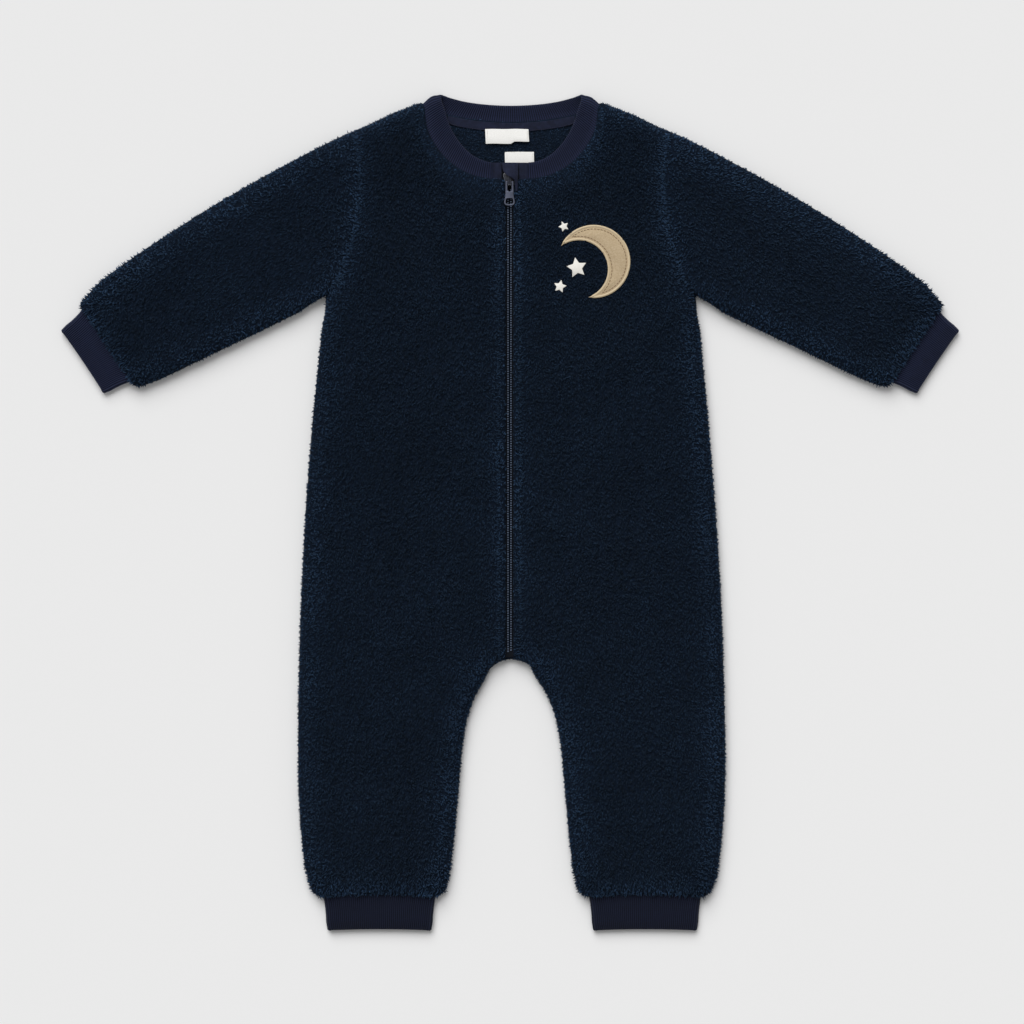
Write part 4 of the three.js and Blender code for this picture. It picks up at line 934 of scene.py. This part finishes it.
def scatter(piece, count, wanted):
    # Evenly spread random places on a piece, where wanted(places, normals) is true.
    corners = trianglesOf(piece)
    cross = np.cross(corners[:, 1] - corners[:, 0], corners[:, 2] - corners[:, 0])
    area = np.linalg.norm(cross, axis=1) / 2
    normal = cross / np.maximum(area[:, None] * 2, 1e-15)
    good = wanted(corners.mean(1), normal) & (area > 0)
    corners, normal, area = corners[good], normal[good], area[good]
    weight = np.cumsum(area) / area.sum()
    chosen = np.searchsorted(weight, (np.arange(count) + rng.random(count)) / count)
    chosen = np.minimum(chosen, len(corners) - 1)
    a, b = np.sqrt(rng.random(count)), rng.random(count)
    picked = corners[chosen]
    places = picked[:, 0] * (1 - a)[:, None] + picked[:, 1] * (a * (1 - b))[:, None] + picked[:, 2] * (a * b)[:, None]
    return places, normal[chosen]


def rimTree(piece, angle=50):
    # Places along a piece's sharp rims, for finding how far a tuft is from an edge.
    bm = bmesh.new()
    bm.from_mesh(piece.data)
    found = []
    for edge in bm.edges:
        if edge.calc_face_angle(0) > math.radians(angle):
            found.append(edge.verts[0].co.copy())
            found.append((edge.verts[0].co + edge.verts[1].co) / 2)
    bm.free()
    tree = KDTree(len(found))
    for index, place in enumerate(found):
        tree.insert(place, index)
    tree.balance()
    return tree


def coverTree(pieces):
    corners = np.concatenate([trianglesOf(piece) for piece in pieces])
    flat = corners.reshape(-1, 3)
    return BVHTree.FromPolygons([Vector(p) for p in flat], [(i, i + 1, i + 2) for i in range(0, len(flat), 3)])


covers = coverTree([trimPieces["main_label_cloth"], trimPieces["size_label_cloth"], *patchPieces[:1], *patchPieces[3:],
                    trimPieces["zip_guard_cloth"], pullPiece, trimPieces["neck_tape_cloth"]])


def uncovered(places):
    up, depth = Vector((0, 0, 1)), Vector((0, 0, 3 * mm))
    return np.array([covers.ray_cast(Vector(place) - depth, up, 30 * mm)[0] is None for place in places])


def unit(vectors):
    return vectors / np.maximum(np.linalg.norm(vectors, axis=1), 1e-9)[:, None]


def buildTuft():
    # One lock of fibres, 1 high and 1 in radius: closed, widest low down, its point bent over towards +X.
    bm = bmesh.new()
    shade = bm.loops.layers.uv.new("OFBake")
    bmesh.ops.create_uvsphere(bm, u_segments=3, v_segments=2, radius=1)
    for vert in bm.verts:
        vert.co.z = {-1: 0, 0: pile["widest"], 1: 1}[round(vert.co.z)]
    for face in bm.faces:
        for loop in face.loops:
            loop[shade].uv = (loop.vert.co.y * 0.01, 0.02 + 0.96 * loop.vert.co.z)
    for vert in bm.verts:
        vert.co.x += pile["bend"] * max(0, vert.co.z - pile["widest"]) ** 1.5
    mesh = bpy.data.meshes.new("tuft")
    bm.to_mesh(mesh)
    bm.free()
    mesh.materials.append(materials["pile"])
    mesh.polygons.foreach_set("use_smooth", [True] * len(mesh.polygons))
    return linkObject("tuft", mesh)


def tuftNodes(tuft):
    # Geometry nodes that stand a tuft on every point, as its attributes say, and make them all real mesh.
    tree = bpy.data.node_groups.new("tufts", "GeometryNodeTree")
    tree.interface.new_socket("Geometry", in_out="INPUT", socket_type="NodeSocketGeometry")
    tree.interface.new_socket("Geometry", in_out="OUTPUT", socket_type="NodeSocketGeometry")
    named = {name: addNode(tree, "GeometryNodeInputNamedAttribute", {"Name": name}, data_type="FLOAT_VECTOR")
             for name in ("grow", "curl", "size", "tint", "OFBake")}
    turned = addNode(tree, "FunctionNodeAxesToRotation", {"Primary Axis": named["grow"].outputs["Attribute"],
                                                         "Secondary Axis": named["curl"].outputs["Attribute"]},
                     primary_axis="Z", secondary_axis="X")
    start = addNode(tree, "NodeGroupInput")
    lock = addNode(tree, "GeometryNodeObjectInfo", {"Object": tuft})
    stood = addNode(tree, "GeometryNodeInstanceOnPoints", {
        "Points": start.outputs["Geometry"], "Instance": lock.outputs["Geometry"],
        "Rotation": turned.outputs["Rotation"], "Scale": named["size"].outputs["Attribute"]})
    real = addNode(tree, "GeometryNodeRealizeInstances", {"Geometry": stood.outputs["Instances"]})
    shade = addNode(tree, "ShaderNodeVectorMath", {0: named["OFBake"].outputs["Attribute"],
                                                  1: named["tint"].outputs["Attribute"]}, operation="ADD")
    stored = addNode(tree, "GeometryNodeStoreNamedAttribute", {
        "Geometry": real.outputs["Geometry"], "Name": "OFBake", "Value": shade.outputs["Vector"]},
        data_type="FLOAT2", domain="CORNER")
    addNode(tree, "NodeGroupOutput", {"Geometry": stored.outputs["Geometry"]})
    return tree


tuftTree = tuftNodes(buildTuft())


def buildTufts(name, places, **attributes):
    mesh = bpy.data.meshes.new(name)
    mesh.vertices.add(len(places))
    mesh.vertices.foreach_set("co", places.astype(np.float32).ravel())
    for attribute, values in attributes.items():
        layer = mesh.attributes.new(attribute, "FLOAT_VECTOR", "POINT")
        layer.data.foreach_set("vector", values.astype(np.float32).ravel())
    piece = linkObject(name, mesh)
    piece.modifiers.new("tufts", "NODES").node_group = tuftTree
    applyModifiers(piece)
    for attribute in attributes:
        piece.data.attributes.remove(piece.data.attributes[attribute])
    places = points(piece)
    places[:, 2] = np.maximum(places[:, 2], 0.05 * mm)  # locks by the floor lie down on it
    setPoints(piece, places)
    takePlaceOf(piece, [])
    return piece


def clumps(places):
    # Locks that lie together: slow swirls as hands leave them, and finer ones a few millimetres across.
    x, y = places[:, 0] / mm, places[:, 1] / mm
    slow = 1.3 * np.sin(x / 29 + 1.7 * np.sin(y / 41)) + 1.2 * np.sin(y / 23 + x / 57)
    fine = 2.6 * np.sin(x / 3.1 + 2 * np.sin(y / 5.3 + x / 17)) + 2.4 * np.sin(y / 2.7 + 1.6 * np.sin(x / 4.9))
    flow = np.column_stack([np.sin(slow), np.cos(slow), 0 * x]) * 0.5
    return flow + np.column_stack([np.sin(fine), np.cos(fine), 0 * x])


def paintedSheenPatches(places):
    # Painted sheen: broad and small patches of lighter and darker pile, where its lie would catch the light differently
    x, y = places[:, 0] / mm, places[:, 1] / mm
    broad = np.sin(x / 25 + 2.2 * np.sin(y / 37)) * np.sin(y / 19 + 1.7 * np.sin(x / 31))
    small = np.sin(x / 5.1 + 2 * np.sin(y / 7.7)) * np.sin(y / 4.3 + 1.3 * np.sin(x / 8.9))
    return 1 + 0.2 * broad + 0.1 * small


def growPile(base, count, wanted, brush, parts, paintedLightness=1.0):
    # Tufts on a fleece piece, as parts of it between two heights in Y, each part an object of its own; the last
    # argument paints all its pile lighter, as painted light.
    places, normals = scatter(fleecePieces[base], count, wanted)
    rims = rimTree(fleecePieces[base])
    nearest = [rims.find(place) for place in places]
    rimDistance = np.array([found[2] for found in nearest]) / mm
    toRim = unit(np.array([found[0] for found in nearest]) - places)
    nearEdge = np.exp(-(rimDistance / pile["edgeReach"]) ** 2)[:, None]
    atZip = ((np.abs(places[:, 0] / mm - zipper["x"]) < 9) & (places[:, 2] > 6 * mm))[:, None]
    atNeck = (np.hypot(places[:, 0] / mm, places[:, 1] / mm - 318) < 74)[:, None] & ~atZip

    leans = rng.normal(size=(count, 3)) * pile["ragged"] + clumps(places) * pile["clump"]
    sideways = 1 - np.abs(normals[:, 2:])
    leans += np.array([*brush, 0]) * pile["brush"] * (1 - 0.75 * nearEdge)
    leans += toRim * nearEdge * np.where(atZip, -pile["zipAway"], np.where(atNeck, -pile["neckAway"], pile["outward"]))
    leans *= 1 - 0.6 * sideways
    leans[:, 2:] -= sideways * pile["downSides"]
    leans -= normals * (leans * normals).sum(1)[:, None]
    grow = unit(normals + leans * np.where(atZip, 0.7, 1))
    lengths = pile["length"] * (1 + pile["lengthSpread"] * rng.normal(size=count)).clip(0.6, 1.4) * mm
    radii = pile["radius"] * (1 + pile["radiusSpread"] * rng.normal(size=count)).clip(0.5, 1.5) * mm
    atHem = (places[:, 1] < -280 * mm) | (np.abs(places[:, 0]) > 292 * mm)
    lengths *= 1 + pile["hemLonger"] * nearEdge[:, 0] * atHem
    lengths *= (1 - 0.08 * nearEdge[:, 0]) * (1 - pile["shortSides"] * sideways[:, 0]) * np.where(atNeck[:, 0], 0.8, 1)
    lengths[(places[:, 2] < 4.5 * mm) & (normals[:, 2] > 0.5)] *= 0.7  # the inside of the back, worn flatter
    # Each tuft's brightness: painted sheen in patches, a painted highlight near the rims, the piece's painted
    # lightness, and random tone from tuft to tuft
    shades = paintedLightness * paintedSheenPatches(places) * (0.95 + 1.15 * nearEdge[:, 0]) * (1 + 0.36 * rng.normal(size=count)).clip(0.3, 2.2)
    roots = places - normals * pile["rootDepth"] * mm
    clear = uncovered(roots) & uncovered(roots + grow * (lengths * 1.1)[:, None])
    size = np.column_stack([radii, radii, lengths])
    tint = np.column_stack([(shades / pileShades).clip(0.03, 0.97), 0 * shades, 0 * shades])
    made = []
    for name, low, high in parts:
        inside = clear & (places[:, 1] >= low * mm) & (places[:, 1] < high * mm)
        made.append(buildTufts("pile_" + name, roots[inside], grow=grow[inside], curl=leans[inside],
                               size=size[inside], tint=tint[inside]))
    return made


def upperSide(places, normals):
    return (normals[:, 2] > 0.1) & (places[:, 2] > seamHeight - 0.3 * mm)


def sleeveSides(places, normals):
    lower = (normals[:, 2] < -0.1) & (places[:, 2] < seamHeight) & (places[:, 2] > 0.7 * mm)
    return upperSide(places, normals) | lower


def backSides(places, normals):
    lower = (normals[:, 2] < -0.1) & (places[:, 2] < seamHeight + 1 * mm) & (places[:, 2] > 0.7 * mm)
    inNeck = (normals[:, 2] > 0.7) & (places[:, 1] > 262 * mm) & (np.abs(places[:, 0]) < 56 * mm)
    return lower | inNeck


top, bottom, split = 400, -400, -10
pilePieces = {
    "front_left": growPile("front_left", 44600, upperSide, (0.1, -1),
                           [("front_left_leg", bottom, split), ("front_left_chest", split, top)]),
    "front_right": growPile("front_right", 44600, upperSide, (-0.1, -1),
                            [("front_right_leg", bottom, split), ("front_right_chest", split, top)]),
    # The sleeves' pile is painted lighter by a factor of 1.14: painted light on the sleeves
    "sleeve_left_cloth": growPile("sleeve_left_cloth", 14000, sleeveSides, (0.7, -0.8),
                                  [("sleeve_left", bottom, top)], 1.14),
    "sleeve_right_cloth": growPile("sleeve_right_cloth", 14000, sleeveSides, (-0.7, -0.8),
                                   [("sleeve_right", bottom, top)], 1.14),
    "back": growPile("back", 8500, backSides, (0, -0.5), [("back", bottom, top)]),
}
bpy.data.objects.remove(bpy.data.objects["tuft"])
print("pile grown")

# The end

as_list(patchPieces[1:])

bpy.context.view_layer.update()
